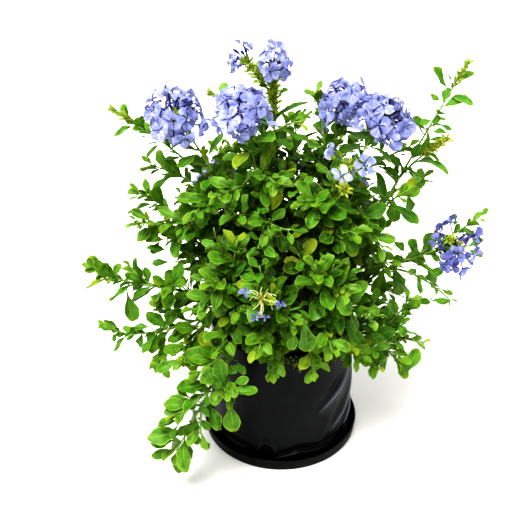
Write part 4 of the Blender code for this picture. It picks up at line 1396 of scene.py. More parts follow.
def fold_at(bearing, height):
    """How far the slanting folds lift the film here, and how strongly a painted highlight pales it here,
    along a sharp crest and over its gentle side, from 0 to 1.
    """
    lift = crest = 0.0
    for from_bearing, from_height, to_bearing, to_height, depth, width in FOLDS:
        run_x = BAG_RADIUS * radians(to_bearing - from_bearing)
        run_y = to_height - from_height
        long = hypot(run_x, run_y)
        x = BAG_RADIUS * radians(apart(bearing, from_bearing))
        y = height - from_height
        share = (x * run_x + y * run_y) / long ** 2
        if not 0 < share < 1:
            continue
        off = (x * run_y - y * run_x) / long * (-1 if run_x > 0 else 1)
        ends = sin(pi * share ** 0.8) ** 0.7
        side = exp(off / width) if off < 0 else exp(-off / (STEEP_SIDE * width))
        hollow = 0.35 * exp(-((off - 0.75 * width) / (0.5 * width)) ** 2)
        lift += depth * ends * (side - hollow)
        # Painted highlight: a deep fold's crest, and a little of its gentle side, are paled
        if depth > SHARP_FOLD:
            crest = max(crest, ends * exp(-((off - CREST_OFF) / CREST_HALF) ** 2), FOLD_SIDE_HIGHLIGHT * ends * side)
    return lift, crest


def film_radius(bearing, height):
    """The film's outer radius at this bearing in degrees and height above the bag's foot."""
    share = height / BAG_HEIGHT
    front = apart(bearing, 46) + 46
    tucked = exp(-(height / along_table(WALL_EDGE, front)) ** WALL_EDGE_SHARPNESS)
    radius = BAG_RADIUS - BAG_TUCK * tucked + BAG_BULGE * sin(pi * share)
    radius += fold_at(bearing, height)[0] * (1 - tucked)
    for at_rim, lean in PLEATS:
        off = apart(bearing, at_rim + lean * (1 - share)) / PLEAT_SHARPNESS
        radius += 0.6 * PLEAT_DEPTH * exp(-off * off) * min(1.0, height / PLEAT_FADE)
    if HEM[0][0] < front < HEM[-1][0]:
        ends = sin(pi * (front - HEM[0][0]) / (HEM[-1][0] - HEM[0][0])) ** 0.4
        radius += HEM_REACH * ends * exp(-((height - along_table(HEM, front)) / HEM_THICKNESS) ** 2)
    off = BAG_RADIUS * radians(apart(bearing, GATHER_AT))
    round_gather = hypot(off / GATHER_HALF, height / GATHER_HEIGHT)
    radius += GATHER_DEPTH * exp(-((round_gather - 1) / GATHER_CREST) ** 2)
    radius -= GATHER_HOLLOW * exp(-(round_gather / 0.75) ** 4)
    turned = Vector((cos(radians(bearing)), sin(radians(bearing)), 0.0))
    soft = noise.noise((turned + Vector((0, 0, share * 1.6))) * 1.7)
    fine = noise.noise(turned * 5 + Vector((0, 0, share * 7)))
    return radius + FILM_WAVE * soft + FILM_RIPPLE * fine


def make_bag():
    """The film: its wall with pleats and creases, turned under at the foot, its cut rim and its inside."""
    batch = Batch()
    foot = SAUCER_WALL + GAP
    heights = [BAG_HEIGHT * (row / BAG_ROWS) ** 1.35 for row in range(BAG_ROWS + 1)]
    points, looks = [], [(0.0, 0.0, 0.0)]
    for step in range(BAG_STEPS):
        bearing = 360.0 * step / BAG_STEPS
        angle = radians(bearing)
        ripple = noise.noise(Vector((3 * cos(angle), 3 * sin(angle), 4.0)))
        low = film_radius(bearing, 0.0)
        column = [(share * (low - 4.0), 0.0) for share in (0.25, 0.6, 0.85)]
        column += [(low - 2.2, 0.15)]
        looks += [(0.0, 0.0, 0.0)] * len(column)
        for height in heights:
            lean = max(0.0, height / BAG_HEIGHT - RIM_WAVES_FROM) / (1 - RIM_WAVES_FROM)
            column.append((film_radius(bearing, height) + RIM_WAVE_OUT * ripple * lean,
                           height + RIM_WAVE_UP * ripple * lean))
            # The painted highlight along the folds goes in the tone
            looks.append((0.0, fold_at(bearing, height)[1], 0.0))
        outer, top = column[-1]
        for share in (0.0, 0.25, 0.6, 1.0):
            column.append((outer - FILM_THICKNESS - 0.9 * share * ripple, top
                           - share * (MIX_BELOW_RIM + 4.0)))
            looks.append((0.0, 0.0, 0.0))
        points.append([(radius * cos(angle), radius * sin(angle), foot + max(0.0, height))
                       for radius, height in column])
    count = len(points[0])
    flat = [(0.0, 0.0, foot)] + [point for column in points for point in column]
    faces = []
    for step in range(BAG_STEPS):
        here, after = 1 + step * count, 1 + (step + 1) % BAG_STEPS * count
        faces.append((0, after, here))
        for row in range(count - 1):
            faces.append((here + row, after + row, after + row + 1, here + row + 1))
    batch.add(flat, faces, look=looks)
    return batch.make("film_bag", [film_material()], "bag_film", "grow_bag")


def mix_height(x, y):
    """The height of the mix at this place: a low crown with lumps and hollows."""
    radius = hypot(x, y)
    lumps = noise.noise(Vector((x, y, 0.0)) / 17.0) * 2.2 + noise.noise(Vector((x, y, 9.0)) / 5.0) * 1.3
    return MIX_TOP - MIX_CROWN * (radius / BAG_INNER) ** 2 + lumps


def make_mix():
    """The mix: an uneven top on the plain body that fills the bag, strewn with crumbs and bits of bark."""
    batch = Batch()
    outer = BAG_INNER - 2 * GAP
    rows, steps = MIX_ROWS, MIX_STEPS
    points = [(0.0, 0.0, mix_height(0, 0))]
    for row in range(1, rows + 1):
        radius = outer * row / rows
        for step in range(steps):
            angle = tau * (step + 0.5 * (row % 2)) / steps
            x, y = radius * cos(angle), radius * sin(angle)
            points.append((x, y, mix_height(x, y)))
    foot = SAUCER_WALL + BAG_WALL + 1
    low_rings = ((outer, MIX_TUCK), (outer - BAG_TUCK, MIX_TUCK - 6.0), (outer - BAG_TUCK - 1.5, foot))
    for radius, height in low_rings:
        points += ring(radius, height, steps)
    points.append((0.0, 0.0, foot))
    faces = []
    for step in range(steps):
        after = (step + 1) % steps
        faces.append((0, 1 + step, 1 + after))
        for row in range(rows + len(low_rings) - 1):
            low = 1 + row * steps
            faces.append((low + step, low + steps + step, low + steps + after, low + after))
        low = 1 + (rows + len(low_rings) - 1) * steps
        faces.append((low + step, len(points) - 1, low + after))
    batch.add(points, faces, look=(0.0, 0.0, 0.0))
    draws = Random("crumbs")
    props = bpy.context.scene.plumbago_mix
    for _ in range(props.crumbs):
        radius, angle = outer * sqrt(draws.random()) * 0.97, draws.uniform(0, tau)
        x, y = radius * cos(angle), radius * sin(angle)
        size = draws.uniform(0.6, 1.6) * props.crumb_size / MM
        chip(batch, Vector((x, y, mix_height(x, y) + 0.2 * size)), size, draws, 0,
             (0, draws.random() ** 3, 0))
    return batch.make("mix_body", [mix_material()], "potting_mix", "potting_mix")


def chip(batch, centre, size, draws, slot, look):
    """A crumb or a flake: an uneven, flattish eight-sided lump."""
    turn = draws.uniform(0, tau)
    first = Vector((cos(turn), sin(turn), draws.uniform(-0.4, 0.4))).normalized()
    second = square_to(first, (-sin(turn), cos(turn), draws.uniform(-0.5, 0.5)))
    third = first.cross(second)
    points = []
    for sign in (1, -1):
        points.append(centre + sign * third * size * draws.uniform(0.2, 0.5))
    for step in range(6):
        angle = tau * step / 6
        reach = size * draws.uniform(0.6, 1.1)
        points.append(centre + reach * (cos(angle) * first + 0.6 * sin(angle) * second))
    faces = []
    for step in range(6):
        here, after = 2 + step, 2 + (step + 1) % 6
        faces += [(0, here, after), (1, after, here)]
    batch.add(points, faces, slot, look=look)


def make_litter():
    """Moss and scraps of old leaf that have spilled over the rim at the front right."""
    batch = Batch()
    draws = Random("litter")
    foot = SAUCER_WALL + GAP
    for _ in range(LITTER_SCRAPS):
        bearing = draws.gauss(LITTER_AT, LITTER_SPREAD)
        angle = radians(bearing)
        below = abs(draws.gauss(0.0, LITTER_BELOW))
        radius = film_radius(bearing, BAG_HEIGHT - below) + draws.uniform(*LITTER_OUT)
        root = Vector((radius * cos(angle), radius * sin(angle), foot + BAG_HEIGHT - below + 1.0))
        way = Vector((cos(angle) + draws.gauss(0, 0.7), sin(angle) + draws.gauss(0, 0.7),
                      draws.gauss(-0.1, 0.7))).normalized()
        up = square_to(way, (draws.gauss(0, 0.5), draws.gauss(0, 0.5), 1.0))
        fine_leaf(batch, 0, root, way, up, draws.uniform(*LITTER_LENGTHS), 0.0, draws, draws.random() ** 2)
    return batch.make("rim_litter", [litter_material()], "potting_mix")


# Leaves, stems and flowers

def sheet_rows(batch, slot, rows, tip, shares, look):
    """A thin blade from its rows of points, one row for each share of its length, and its tip."""
    points = [point for row in rows for point in row] + [tip]
    place = [(aside, share, 0.0) for share in shares for aside in LEAF_ACROSS] + [(0.0, 1.0, 0.0)]
    width = len(LEAF_ACROSS)
    faces = []
    for low in range(0, (len(rows) - 1) * width, width):
        for step in range(width - 1):
            here = low + step
            faces.append((here, here + 1, here + width + 1, here + width))
    last = (len(rows) - 1) * width
    faces += [(last + step, last + step + 1, len(points) - 1) for step in range(width - 1)]
    batch.add(points, faces, slot, place, look)


def fine_leaf(batch, slot, root, way, up, length, age, draws, tone, fade=0.0):
    """A blade on a short stalk: widest past its middle, folded along its rib, bent, twisted and waved."""
    half = length * bpy.context.scene.plumbago_leaves.half_width * draws.uniform(*LEAF_WIDTHS)
    peak, blunt = draws.uniform(*LEAF_PEAKS), draws.uniform(*LEAF_BLUNTNESS)
    droop = (LEAF_DROOP_USUAL + draws.uniform(*LEAF_DROOPS)) * (1 - 0.6 * age)
    twist = draws.gauss(0, LEAF_TWIST)
    fold, wave = draws.uniform(*LEAF_FOLDS) + 0.3 * age, draws.uniform(*LEAF_WAVES)
    phase, notch = draws.uniform(0, tau), draws.uniform(*LEAF_NOTCHES)
    base, skew = draws.uniform(*LEAF_BASES), draws.gauss(0, LEAF_SKEW)
    across = way.cross(up)
    rows = []
    for share in LEAF_RUN:
        angle = droop * share
        centre = root + length / droop * (sin(angle) * way - (1 - cos(angle)) * up)
        normal = cos(angle) * up + sin(angle) * way
        turn = twist * share
        side = around(across, normal, turn)
        normal = cos(turn) * normal - sin(turn) * across
        outline = sin(pi * share ** peak) ** blunt * min(1.0, 0.12 + base * share)
        row = []
        for aside in LEAF_ACROSS:
            lobed = 1 + notch * sin(3 * phase + 19 * share + 2 * aside) + skew * aside
            wide = max(half * outline * lobed, STALK_HALF * length)
            lift = wide * fold * abs(aside) ** 1.3 + half * wave * sin(phase + 10 * share
                                                                       + aside) * aside * abs(aside)
            row.append(centre + side * (wide * aside) + normal * lift)
        rows.append(row)
    tip = root + length / droop * (sin(droop) * way - (1 - cos(droop)) * up)
    sheet_rows(batch, slot, rows, tip, LEAF_RUN, (age, tone, fade))


def fine_stem(batch, points, radii, ages):
    """A round stem whose colour follows its age along it."""
    made, faces = tube(points, radii, FINE_STEM_SIDES)
    looks = [(age, 0.5, 0.0) for age in ages for _ in range(FINE_STEM_SIDES)]
    place = [(side / FINE_STEM_SIDES, 0.0, 0.0) for _ in points for side in range(FINE_STEM_SIDES)]
    batch.add(made, faces, STEM, place, looks)


def stem_radius(shoot, share):
    """The fine stem's radius, which thins faster towards the tip than the solid's."""
    thick = shoot.radius * FINE_SHARE
    return thick + (FINE_TIP - thick) * share ** 0.8


def grow_stem(batch, shoot):
    """The stem of a shoot, knotted at even steps along it, with a main one going down into the mix."""
    controls = plant().curves[shoot.cane, shoot.label]
    steps = max(4, round(shoot.length / STEM_STEP))
    shares = [step / steps for step in range(steps + 1)]
    points = [bend(controls, share) for share in shares]
    radii = [stem_radius(shoot, share) * (1.0 + KNOT * (step % 3 == 0)) for step, share in enumerate(shares)]
    woody = MAIN_AGE if shoot.label == "main" else SIDE_AGE
    ages = [woody + (1 - woody) * share for share in shares]
    if shoot.label == "main":
        points.insert(0, points[0] - Vector((0, 0, CANE_DEPTH / 2)))
        radii.insert(0, radii[0])
        ages.insert(0, 0.0)
    fine_stem(batch, points, radii, ages)


def fine_calyx(batch, root, way, length, draws, spent=0.0, light=0.0):
    """A ribbed tube with five pointed teeth, set with sticky glands."""
    across, other = axes(way)

    def place(run, radius, angle):
        return root + way * (run * length) + radius * around(across, other, angle)

    points, places = [], []
    ribs = CALYX_RIBS
    for run, radius in CALYX_PROFILE:
        for rib in range(ribs):
            ridge = 1.12 if rib % 2 else 0.92
            points.append(place(run, radius * ridge, tau * rib / ribs))
            places.append((rib / ribs, run, 0.0))
    faces = []
    rim = len(points) - ribs
    for low in range(0, rim, ribs):
        for rib in range(ribs):
            after = (rib + 1) % ribs
            faces.append((low + rib, low + after, low + ribs + after, low + ribs + rib))
    for rib in range(0, ribs, 2):
        points.append(place(draws.uniform(*TOOTH_REACHES), TOOTH_RADIUS, tau * (rib + 1) / ribs))
        places.append((rib / ribs, 1.0, 0.0))
        tooth, low = len(points) - 1, rim + rib
        faces += [(low, low + 1, tooth), (low + 1, rim + (rib + 2) % ribs, tooth)]
    for gland in range(GLANDS):
        run, angle = 0.2 + 0.7 * gland / GLANDS, GOLDEN_TURN * gland
        base = len(points)
        points += [place(run - 0.03, CALYX_SIDE, angle), place(run + 0.03, CALYX_SIDE, angle),
                   place(run, CALYX_SIDE, angle + 0.25), place(run + 0.02, GLAND_RADIUS, angle)]
        places += [(0.1, 0.9, 0.0)] * 4
        faces += [(base, base + 1, base + 3), (base + 1, base + 2, base + 3), (base + 2, base, base + 3)]
    batch.add(points, faces, CALYX, places, (spent, light + 0.25 * draws.random(), 0.0))


def fine_tube(batch, points, radii, tone):
    """The slim tube of a corolla."""
    batch.add(*tube(points, radii, FINE_TUBE_SIDES), PETAL, look=(tone, 0.5, 0.0))


def curved(start, along, aside, length, sag, steps=5):
    """Points from the start along a slight curve whose ends are on the straight line."""
    return [start + along * (length * step / steps) + aside * (sag * sin(pi * step / steps))
            for step in range(steps + 1)]


def fine_lobe(batch, root, out, way, length, half, lift, curl, draws, look):
    """A petal lobe: narrow at the throat, broadest near its round end, hollowed or ridged, and bent back."""
    side = way.cross(out)
    hollow, wave = draws.uniform(*LOBE_HOLLOWS), draws.uniform(*LOBE_WAVES)
    phase, twist, peak = draws.uniform(0, tau), draws.gauss(0, LOBE_TWIST), draws.uniform(*LOBE_PEAKS)
    rows, centre, before = [], Vector(root), 0.0
    for share in PETAL_RUN + (1.0,):
        angle = lift - curl * share
        along = around(out, way, angle)
        normal = cos(angle) * way - sin(angle) * out
        centre = centre + along * (length * (share - before))
        before = share
        if share == 1.0:
            break
        turned = around(side, normal, twist * share)
        wide = half * max(sin(pi * share ** peak) ** 0.5, 0.17) * min(1.0, 0.26 + 1.4 * share)
        row = []
        for aside in LEAF_ACROSS:
            rise = wide * hollow * aside * aside + half * wave * sin(phase + 7 * share) * aside * abs(aside)
            row.append(centre + turned * (wide * aside) + normal * rise)
        rows.append(row)
    sheet_rows(batch, PETAL, rows, centre, PETAL_RUN, look)


def fine_floret(batch, floret, draws, worn, pale, narrow):
    """A calyx, a slim tube and five round lobes, about as wide as the solid corolla that stands there."""
    props = bpy.context.scene.plumbago_flowers
    centre, way, reach, spin, radius = floret
    reach *= HEAD_SCALE
    across = square_to(way, (cos(spin), sin(spin), 0.2))
    other = way.cross(across)
    fine_calyx(batch, centre + 0.8 * way, way, CALYX_LENGTH * draws.uniform(0.9, 1.1), draws, 0.5 * worn)
    points = curved(centre + 6.0 * way, way, across, reach - 6.8, draws.uniform(-1.6, 1.6))
    points.append(centre + way * reach)
    fine_tube(batch, points, [0.5, 0.5, 0.52, 0.56, 0.62, 0.75, 1.25], 1.0 - 0.6 * pale)
    nod, towards = abs(draws.gauss(0, NOD)), draws.uniform(0, tau)
    face = (way + tan(nod) * around(across, other, towards)).normalized()
    across = square_to(face, across)
    other = face.cross(across)
    kind = draws.random()
    lifts, curls = next((lifts, curls) for share, lifts, curls in POISES if kind <= share)
    lift, curl, tone = draws.uniform(*lifts), draws.uniform(*curls), draws.random()
    for lobe in range(5):
        middle = tau * lobe / 5 + draws.uniform(-0.08, 0.08)
        out = around(across, other, middle)
        length = (radius - LOBE_ROOT) * draws.uniform(0.96, 1.08)
        half = radius * props.lobe_half_width * draws.uniform(0.92, 1.08) * (1 - 0.06 * worn) * narrow
        if worn:
            lift, curl = (draws.uniform(*limits) for limits in WORN_POISE)
        root = centre + way * (reach - 0.3 + 0.12 * (lobe % 2)) + LOBE_ROOT * out
        tint = (1 - 0.6 * worn) * clamped(tone + draws.uniform(-0.3, 0.3))
        look = (worn * draws.uniform(0.0, 0.6), tint, pale * draws.uniform(0.6, 1.0))
        fine_lobe(batch, root, out, face, length, half, lift + draws.uniform(-0.12, 0.12),
                  curl + draws.uniform(-0.25, 0.25), draws, look)
    eye = [centre + way * (reach - 0.6), centre + way * (reach + 0.5)]
    batch.add(*tube(eye, [0.75, 0.25], 5), PETAL, look=(0.4, 0.5, 0.0))


def fine_closed(batch, root, way, length, draws, dark=False):
    """A corolla that is still rolled up: its tube and a pointed spindle of a deeper blue."""
    aside = way.orthogonal().normalized()
    fine_calyx(batch, root, way, CALYX_LENGTH * 0.9, draws)
    points = curved(root + 5.0 * way, way, aside, length - 5.0, draws.uniform(-0.8, 0.8), 8)
    fine_tube(batch, points, [0.45, 0.45, 0.5, 0.55, 0.8, 1.35, 1.45, 0.9, 0.15],
              1.0 if dark else draws.uniform(0.35, 0.8))


def bleached_tube(batch, start, way, aside, length, draws):
    """The thin, pale and bent tube of a spent corolla."""
    points = curved(start, way, aside, length, draws.choice((-1, 1)) * draws.uniform(1.4, 3.6), 8)
    batch.add(*tube(points, [0.42] + [0.34] * 7 + [0.48], 5), CALYX, look=(0.0, 0.5, 1.0))


def fine_withered(batch, floret, draws):
    """A spent corolla: its tube bleached and bent, its lobes shrunk to a crumpled blue tuft."""
    centre, way, reach, spin, radius = floret
    across = square_to(way, (cos(spin), sin(spin), 0.2))
    other = way.cross(across)
    fine_calyx(batch, centre + 0.8 * way, way, SPENT_CALYX, draws, 0.55)
    bleached_tube(batch, centre + 4.0 * way, way, across, reach - 4.0, draws)
    for lobe in range(7):
        middle = tau * lobe / 7 + draws.uniform(-0.3, 0.3)
        out = around(across, other, middle)
        fine_lobe(batch, centre + way * reach, out, way, radius * draws.uniform(0.55, 0.95),
                  radius * draws.uniform(0.14, 0.24), draws.uniform(-0.4, 0.9), draws.uniform(-0.8, 1.6),
                  draws,
                  (draws.uniform(0.15, 0.6), draws.random(), 0.0))


def spread_ways(facing, count, low, high, draws, first=0):
    """Directions round the facing one, between these two angles from it."""
    across, other = axes(facing)
    found = []
    for number in range(count):
        out = radians(low + (high - low) * (number + 0.5) / count + draws.uniform(-6, 6))
        turn = GOLDEN_TURN * (number + first) + 1.2
        found.append(aslant(facing, across, other, out, turn))
    return found


def make_head(shoot):
    """One flower head: its core, its florets, the rolled-up ones between them and the bare calyces below."""
    florets = plant().florets[shoot.end]
    withered = shoot.end in WITHERED
    draws = Random(shoot.end + " fine")
    batch = Batch()
    centre, facing = florets[0].centre, Vector(BLOOMS[shoot.end].facing).normalized()
    tip = shoot.controls[-1]
    along = heading(shoot.controls, 1.0)
    fine_stem(batch, [tip - 2.0 * along, tip, centre, centre + 2.0 * facing], [0.9, 1.0, 1.5, 0.5], [1.0] * 4)
    for number, floret in enumerate(florets):
        if withered:
            fine_withered(batch, floret, draws)
        else:
            fine_floret(batch, floret, draws, float(shoot.end in TIRED), FADED.get((shoot.end, number), 0.0),
                        NARROW.get(shoot.end, 1.0))
    spread = BLOOMS[shoot.end].spread
    count, spent, length = HEADS[shoot.end]
    for way in spread_ways(facing, count, 8, 0.85 * spread, draws):
        fine_closed(batch, centre + 0.8 * way, way, length * draws.uniform(0.62, 0.95), draws,
                    shoot.end in DARK_BUDS)
    calyx = SPENT_CALYX if withered else CALYX_LENGTH
    for way in spread_ways(facing, spent, 0.55 * spread, 150, draws, 3):
        fine_calyx(batch, centre + 0.6 * way, way, calyx * draws.uniform(0.8, 1.1), draws,
                   draws.uniform(0.0, 0.5 if withered else 0.25))
    if withered:
        for way in spread_ways(facing, BARE_TUBES, 50, 104, draws, 5):
            bleached_tube(batch, centre + 3.0 * way, way, way.orthogonal().normalized(), draws.uniform(8, 13),
                          draws)
    for back in range(3, SPIKES.get(shoot.end, SPIKE), SPIKE_STEP):
        share = 1 - back / shoot.length
        axis = heading(shoot.controls, share)
        spiked = shoot.end in SPIKES
        for way in spread_ways(axis, 5 if spiked else 3, 30, 72, draws, back):
            fine_calyx(batch, bend(shoot.controls, share), way, CALYX_LENGTH * draws.uniform(0.7, 1.1), draws,
                       0.0 if spiked else draws.uniform(0.0, 0.2), draws.uniform(0.3, 0.75) if spiked
                       else 0.0)
    for at, number in TUFTS.get(shoot.end, ()):
        at = Vector(at)
        start = bend(shoot.controls, TUFT_FROM)
        away = (at - start).normalized()
        fine_stem(batch, curved(start, away, Vector((0, 0, -1)), (at - start).length, 4.0), [0.6] * 6,
                  [1.0] * 6)
        for way in spread_ways(away, number, 10, 110, draws):
            fine_calyx(batch, at, way, SPENT_CALYX * draws.uniform(0.8, 1.6), draws, draws.uniform(0.0, 0.3),
                       draws.uniform(0.4, 0.75))
    finishes = [bpy.data.materials[name] for name in ("plumbago_stem", "plumbago_calyx", "plumbago_petal")]
    batch.make("head" + shoot.end[len("bloom"):], finishes, "petal", shoot.end)


def number_of(bud):
    """The bud's number, counted back from the tip."""
    return round(((1 - bud.share) * bud.shoot.length - BUD_FIRST) / BUD_SPACING)


def make_cane(cane):
    """One cane: its stems, the buds that end some of them, and its leaves."""
    batch = Batch()
    plants = plant()
    for shoot in plants.shoots:
        if shoot.cane == cane.name:
            grow_stem(batch, shoot)
    draws = Random(cane.name + " buds fine")
    for bud in plants.buds:
        if bud.shoot.cane != cane.name:
            continue
        curve, axis = plants.curves[cane.name, bud.shoot.label], heading(bud.shoot.controls, bud.share)
        spent = 0.0 if bud.shoot.end == "buds" else 0.5
        fine_calyx(batch, bend(curve, bud.share), bud.way, bud.length, draws, spent * draws.random())
        lean = degrees(axis.angle(bud.way))
        for number, way in enumerate(spread_ways(axis, BRISTLES[bud.shoot.end], 0.45 * lean, 1.1 * lean,
                                                 draws, number_of(bud))):
            root = bend(curve, bud.share - BUD_SPACING * (number % 2) / 2 / bud.shoot.length)
            fine_calyx(batch, root, way, bud.length * draws.uniform(0.6, 0.95), draws, spent * draws.random(),
                       spent)
    for leaf in plants.leaves:
        if leaf.shoot.cane != cane.name:
            continue
        draws = Random(f"{cane.name} {leaf.shoot.label} {leaf.share:.4f} shape")
        root = bend(plants.curves[cane.name, leaf.shoot.label], leaf.share)
        # Painted shade: the deeper a leaf stands in the bush, the darker its colour, give or take a little at
        # random
        depth = core_depth(root + 0.6 * leaf.length * leaf.way)
        deep = clamped((depth - DEEP_FROM) / (DEEP_TO - DEEP_FROM))
        tone = clamped(deep + draws.uniform(*DEEP_SPREAD))
        length = leaf.length * SCALES.get(f"{cane.name} {leaf.shoot.label}",
                                          SCALES.get(cane.name, LEAF_SCALE))
        if among_calyces(leaf):
            length *= UNDER_SPIKE
        fade = draws.uniform(*YELLOWED) if draws.random() < YELLOWED_SHARE else 0.0
        fine_leaf(batch, LEAF, root, leaf.way, leaf.up, length, leaf.age, draws, tone, fade)
    draws = Random(cane.name + " set leaves")
    for label, base, tip in set_leaves(cane.name):
        base, way, up, length = blade_frame(base, tip)
        curve = plants.curves[cane.name, label]
        start = min((bend(curve, step / 60) for step in range(61)), key=lambda point: (point - base).length)
        if (start - base).length > STALK_FROM:
            fine_stem(batch, [start, base, base + way], STALK_RADII, [1.0] * 3)
        fine_leaf(batch, LEAF, base, way, up, length, draws.uniform(0.0, 0.3), draws, draws.uniform(0.0, 0.3))
    finishes = [bpy.data.materials[name] for name in ("plumbago_stem", "plumbago_calyx", "plumbago_leaf")]
    batch.make("growth" + cane.name[len("cane"):], finishes, "stem_and_leaf", cane.name)


# Stage

def make_stage():
    """A white floor, a soft key light high at the front left, a weaker fill from the right, one light
    from behind, and a camera that stands where the photograph was taken from."""
    props = bpy.context.scene.plumbago_studio
    scene = bpy.context.scene
    mesh = bpy.data.meshes.new("studio_floor")
    mesh.from_pydata(ring(props.floor_radius, 0.0, FLOOR_STEPS), [], [tuple(range(FLOOR_STEPS))])
    mesh.materials.append(floor_material())
    board = bpy.data.objects.new("studio_floor", mesh)
    scene.collection.objects.link(board)
    for name, (place, size) in LAMPS.items():
        lamp = bpy.data.lights.new(name, "AREA")
        lamp.size = size
        lamp.energy = getattr(props, name + "_power")
        shown = bpy.data.objects.new(name, lamp)
        shown.location = place
        shown.rotation_euler = (Vector(place) - Vector(LOOK_AT)).to_track_quat("Z", "Y").to_euler()
        scene.collection.objects.link(shown)
    world = bpy.data.worlds.new("studio")
    world.use_nodes = True
    sky = world.node_tree.nodes["Background"]
    sky.inputs["Color"].default_value = (1.0, 1.0, 1.0, 1.0)
    sky.inputs["Strength"].default_value = props.sky
    scene.world = world
    scene.view_settings.view_transform = "Standard"
    scene.view_settings.look = "Very High Contrast"
    data = bpy.data.cameras.new("camera")
    data.sensor_width = CAMERA_SENSOR
    data.lens = props.lens
    camera = bpy.data.objects.new("camera", data)
    camera.location = CAMERA_AT
    camera.rotation_euler = (radians(90 - CAMERA_PITCH), 0.0, 0.0)
    scene.collection.objects.link(camera)
    scene.camera = camera


# Settings, operators and panel

def colour(name, value):
    """A colour setting from an sRGB hex value."""
    return bpy.props.FloatVectorProperty(
        name=name, description="Colour of this: " + name.lower(), subtype="COLOR", size=3, min=0.0, max=1.0,
        default=linear(value))


def number(name, description, default, **limits):
    """A setting that is one number."""
    return bpy.props.FloatProperty(name=name, description=description, default=default, **limits)


class PLUMBAGO_PG_saucer(PropertyGroup):
    """The saucer's finish."""
    colour: colour("Moulded plastic", "#0b0b0b")
    scuffed: colour("Plastic where it is scuffed", "#141414")


class PLUMBAGO_PG_bag(PropertyGroup):
    """The bag's finish."""
    film: colour("Black film", "#151618")
    dust: colour("Film where dust lies on it", "#212224")
    # Painted highlight along the crests of sharp folds
    crease: colour("Film along the crest of a sharp fold", "#676b6f")


class PLUMBAGO_PG_mix(PropertyGroup):
    """The potting mix and what lies on it."""
    peat: colour("Moist peat", "#2a1c12")
    bark: colour("Composted bark", "#4a3222")
    chip: colour("Palest chips", "#8a6a48")
    moss: colour("Moss at the rim", "#6a8434")
    straw: colour("Dry leaf scraps", "#827a3c")
    crumbs: bpy.props.IntProperty(name="Crumbs", description="Crumbs strewn on the mix", default=420, min=0)
    crumb_size: number("Crumb size", "Usual reach of a crumb from its middle", 0.0016,
        unit="LENGTH", subtype="DISTANCE")


class PLUMBAGO_PG_leaves(PropertyGroup):
    """Leaves and stems."""
    half_width: number("Half width", "Half width of a leaf as a share of its length", 0.225,
        subtype="FACTOR", min=0.1, max=0.4)
    mature: colour("Full-grown leaf", "#3e6e22")
    young: colour("Leaf near the tip", "#607e28")
    # Painted shade for leaves deep in the bush, and also dark patches at random
    deep: colour("Darkest leaves", "#0c2209")
    # Real rib and veins, a painted highlight on the leaf's edge, and pale streaks on stems
    vein: colour("Rib, veins and edge", "#a0b44e")
    yellowed: colour("Leaf that is going yellow", "#8c9228")
    glow: colour("Light that comes through", "#7c9a2a")
    stem: colour("Green stem", "#5f7a38")
    bark: colour("Old stems", "#2c2218")
    bark_pale: colour("Streaks in the bark", "#4a3a28")


class PLUMBAGO_PG_flowers(PropertyGroup):
    """Corollas and calyces."""
    lobe_half_width: number("Lobe half width", "Half width of a lobe as a share of the corolla's radius",
                            0.47, subtype="FACTOR", min=0.2, max=0.6)
    petal: colour("Lobe", "#8a8eb0")
    petal_pale: colour("Palest lobes and throat", "#a2a5c4")
    petal_white: colour("Corollas that have bleached", "#bcc0d0")
    stripe: colour("Line down a lobe", "#5c60a2")
    tube: colour("Corolla's tube", "#34327a")
    calyx: colour("Calyx", "#54702c")
    calyx_pale: colour("Calyx's ribs and tips", "#a6b44c")
    spent: colour("Spent calyx", "#a8935c")
    bleached: colour("Tube of a spent corolla", "#ccc6a4")


class PLUMBAGO_PG_studio(PropertyGroup):
    """Floor, light and camera."""
    # The floor near the plant, darker than far off as painted shade
    floor: colour("Floor", "#d0cfcc")
    floor_shade: colour("Floor's faint patches", "#cdccc9")
    floor_far: colour("Floor far from the plant", "#ffffff")
    floor_radius: number("Floor radius", "Radius of the floor", 5.0, unit="LENGTH", subtype="DISTANCE")
    key_power: number("Key", "Key light", 55.0, unit="POWER")
    fill_power: number("Fill", "Fill light", 9.0, unit="POWER")
    rim_power: number("Rim", "Light from behind", 6.0, unit="POWER")
    sky: number("Sky", "Strength of the light all round", 0.8)
    lens: number("Lens", "Focal length in millimetres", FOCAL_PIXELS / FRAME_PIXELS * CAMERA_SENSOR)


class PLUMBAGO_OT_stage(Operator):
    """Make the floor, the lights and the camera."""
    bl_idname = "plumbago.stage"
    bl_label = "Stage"

    def execute(self, context):
        make_stage()
        return {"FINISHED"}


class PLUMBAGO_OT_saucer(Operator):
    """Make the moulded saucer."""
    bl_idname = "plumbago.saucer"
    bl_label = "Saucer"

    def execute(self, context):
        make_saucer()
        return {"FINISHED"}


class PLUMBAGO_OT_bag(Operator):
    """Make the bag of black film."""
    bl_idname = "plumbago.bag"
    bl_label = "Grow bag"

    def execute(self, context):
        make_bag()
        return {"FINISHED"}


class PLUMBAGO_OT_mix(Operator):
    """Make the potting mix, and the moss and scraps on the rim."""
    bl_idname = "plumbago.mix"
    bl_label = "Potting mix"

    def execute(self, context):
        make_mix()
        make_litter()
        return {"FINISHED"}


class PLUMBAGO_OT_canes(Operator):
    """Make every cane with its side shoots, buds and leaves."""
    bl_idname = "plumbago.canes"
    bl_label = "Canes and leaves"

    def execute(self, context):
        stem_material()
        calyx_material()
        leaf_material()
        for cane in CANES:
            make_cane(cane)
        return {"FINISHED"}


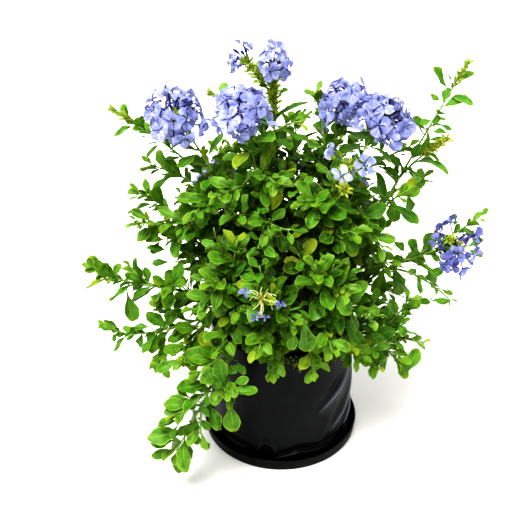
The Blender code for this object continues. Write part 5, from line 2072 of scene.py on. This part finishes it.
class PLUMBAGO_OT_flowers(Operator):
    """Make every flower head. The canes come first, because both share the green finishes."""
    bl_idname = "plumbago.flowers"
    bl_label = "Flower heads"

    def execute(self, context):
        petal_material()
        for shoot in plant().shoots:
            if shoot.end in BLOOMS:
                make_head(shoot)
        return {"FINISHED"}


OPERATORS = (PLUMBAGO_OT_stage, PLUMBAGO_OT_saucer, PLUMBAGO_OT_bag, PLUMBAGO_OT_mix, PLUMBAGO_OT_canes,
             PLUMBAGO_OT_flowers)
GROUPS = {"plumbago_saucer": PLUMBAGO_PG_saucer, "plumbago_bag": PLUMBAGO_PG_bag,
          "plumbago_mix": PLUMBAGO_PG_mix,
          "plumbago_leaves": PLUMBAGO_PG_leaves, "plumbago_flowers": PLUMBAGO_PG_flowers,
          "plumbago_studio": PLUMBAGO_PG_studio}


class PLUMBAGO_PT_panel(Panel):
    """Lists the operators and the settings in the 3D view's sidebar."""
    bl_idname = "PLUMBAGO_PT_panel"
    bl_label = "Potted plumbago"
    bl_space_type = "VIEW_3D"
    bl_region_type = "UI"
    bl_category = "Plumbago"

    def draw(self, context):
        for operator in OPERATORS:
            self.layout.operator(operator.bl_idname)
        for attribute, group in GROUPS.items():
            box = self.layout.box()
            box.label(text=group.__doc__)
            for name in group.__annotations__:
                box.prop(getattr(context.scene, attribute), name)


CLASSES = (*GROUPS.values(), *OPERATORS, PLUMBAGO_PT_panel)


def register():
    for made in CLASSES:
        bpy.utils.register_class(made)
    for attribute, group in GROUPS.items():
        setattr(bpy.types.Scene, attribute, bpy.props.PointerProperty(type=group))


def unregister():
    for attribute in GROUPS:
        delattr(bpy.types.Scene, attribute)
    for made in reversed(CLASSES):
        bpy.utils.unregister_class(made)


def main():
    register()
    bpy.ops.plumbago.stage()
    bpy.ops.plumbago.saucer()
    bpy.ops.plumbago.bag()
    bpy.ops.plumbago.mix()
    bpy.ops.plumbago.canes()
    bpy.ops.plumbago.flowers()
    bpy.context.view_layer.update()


if __name__ == "__main__":
    main()
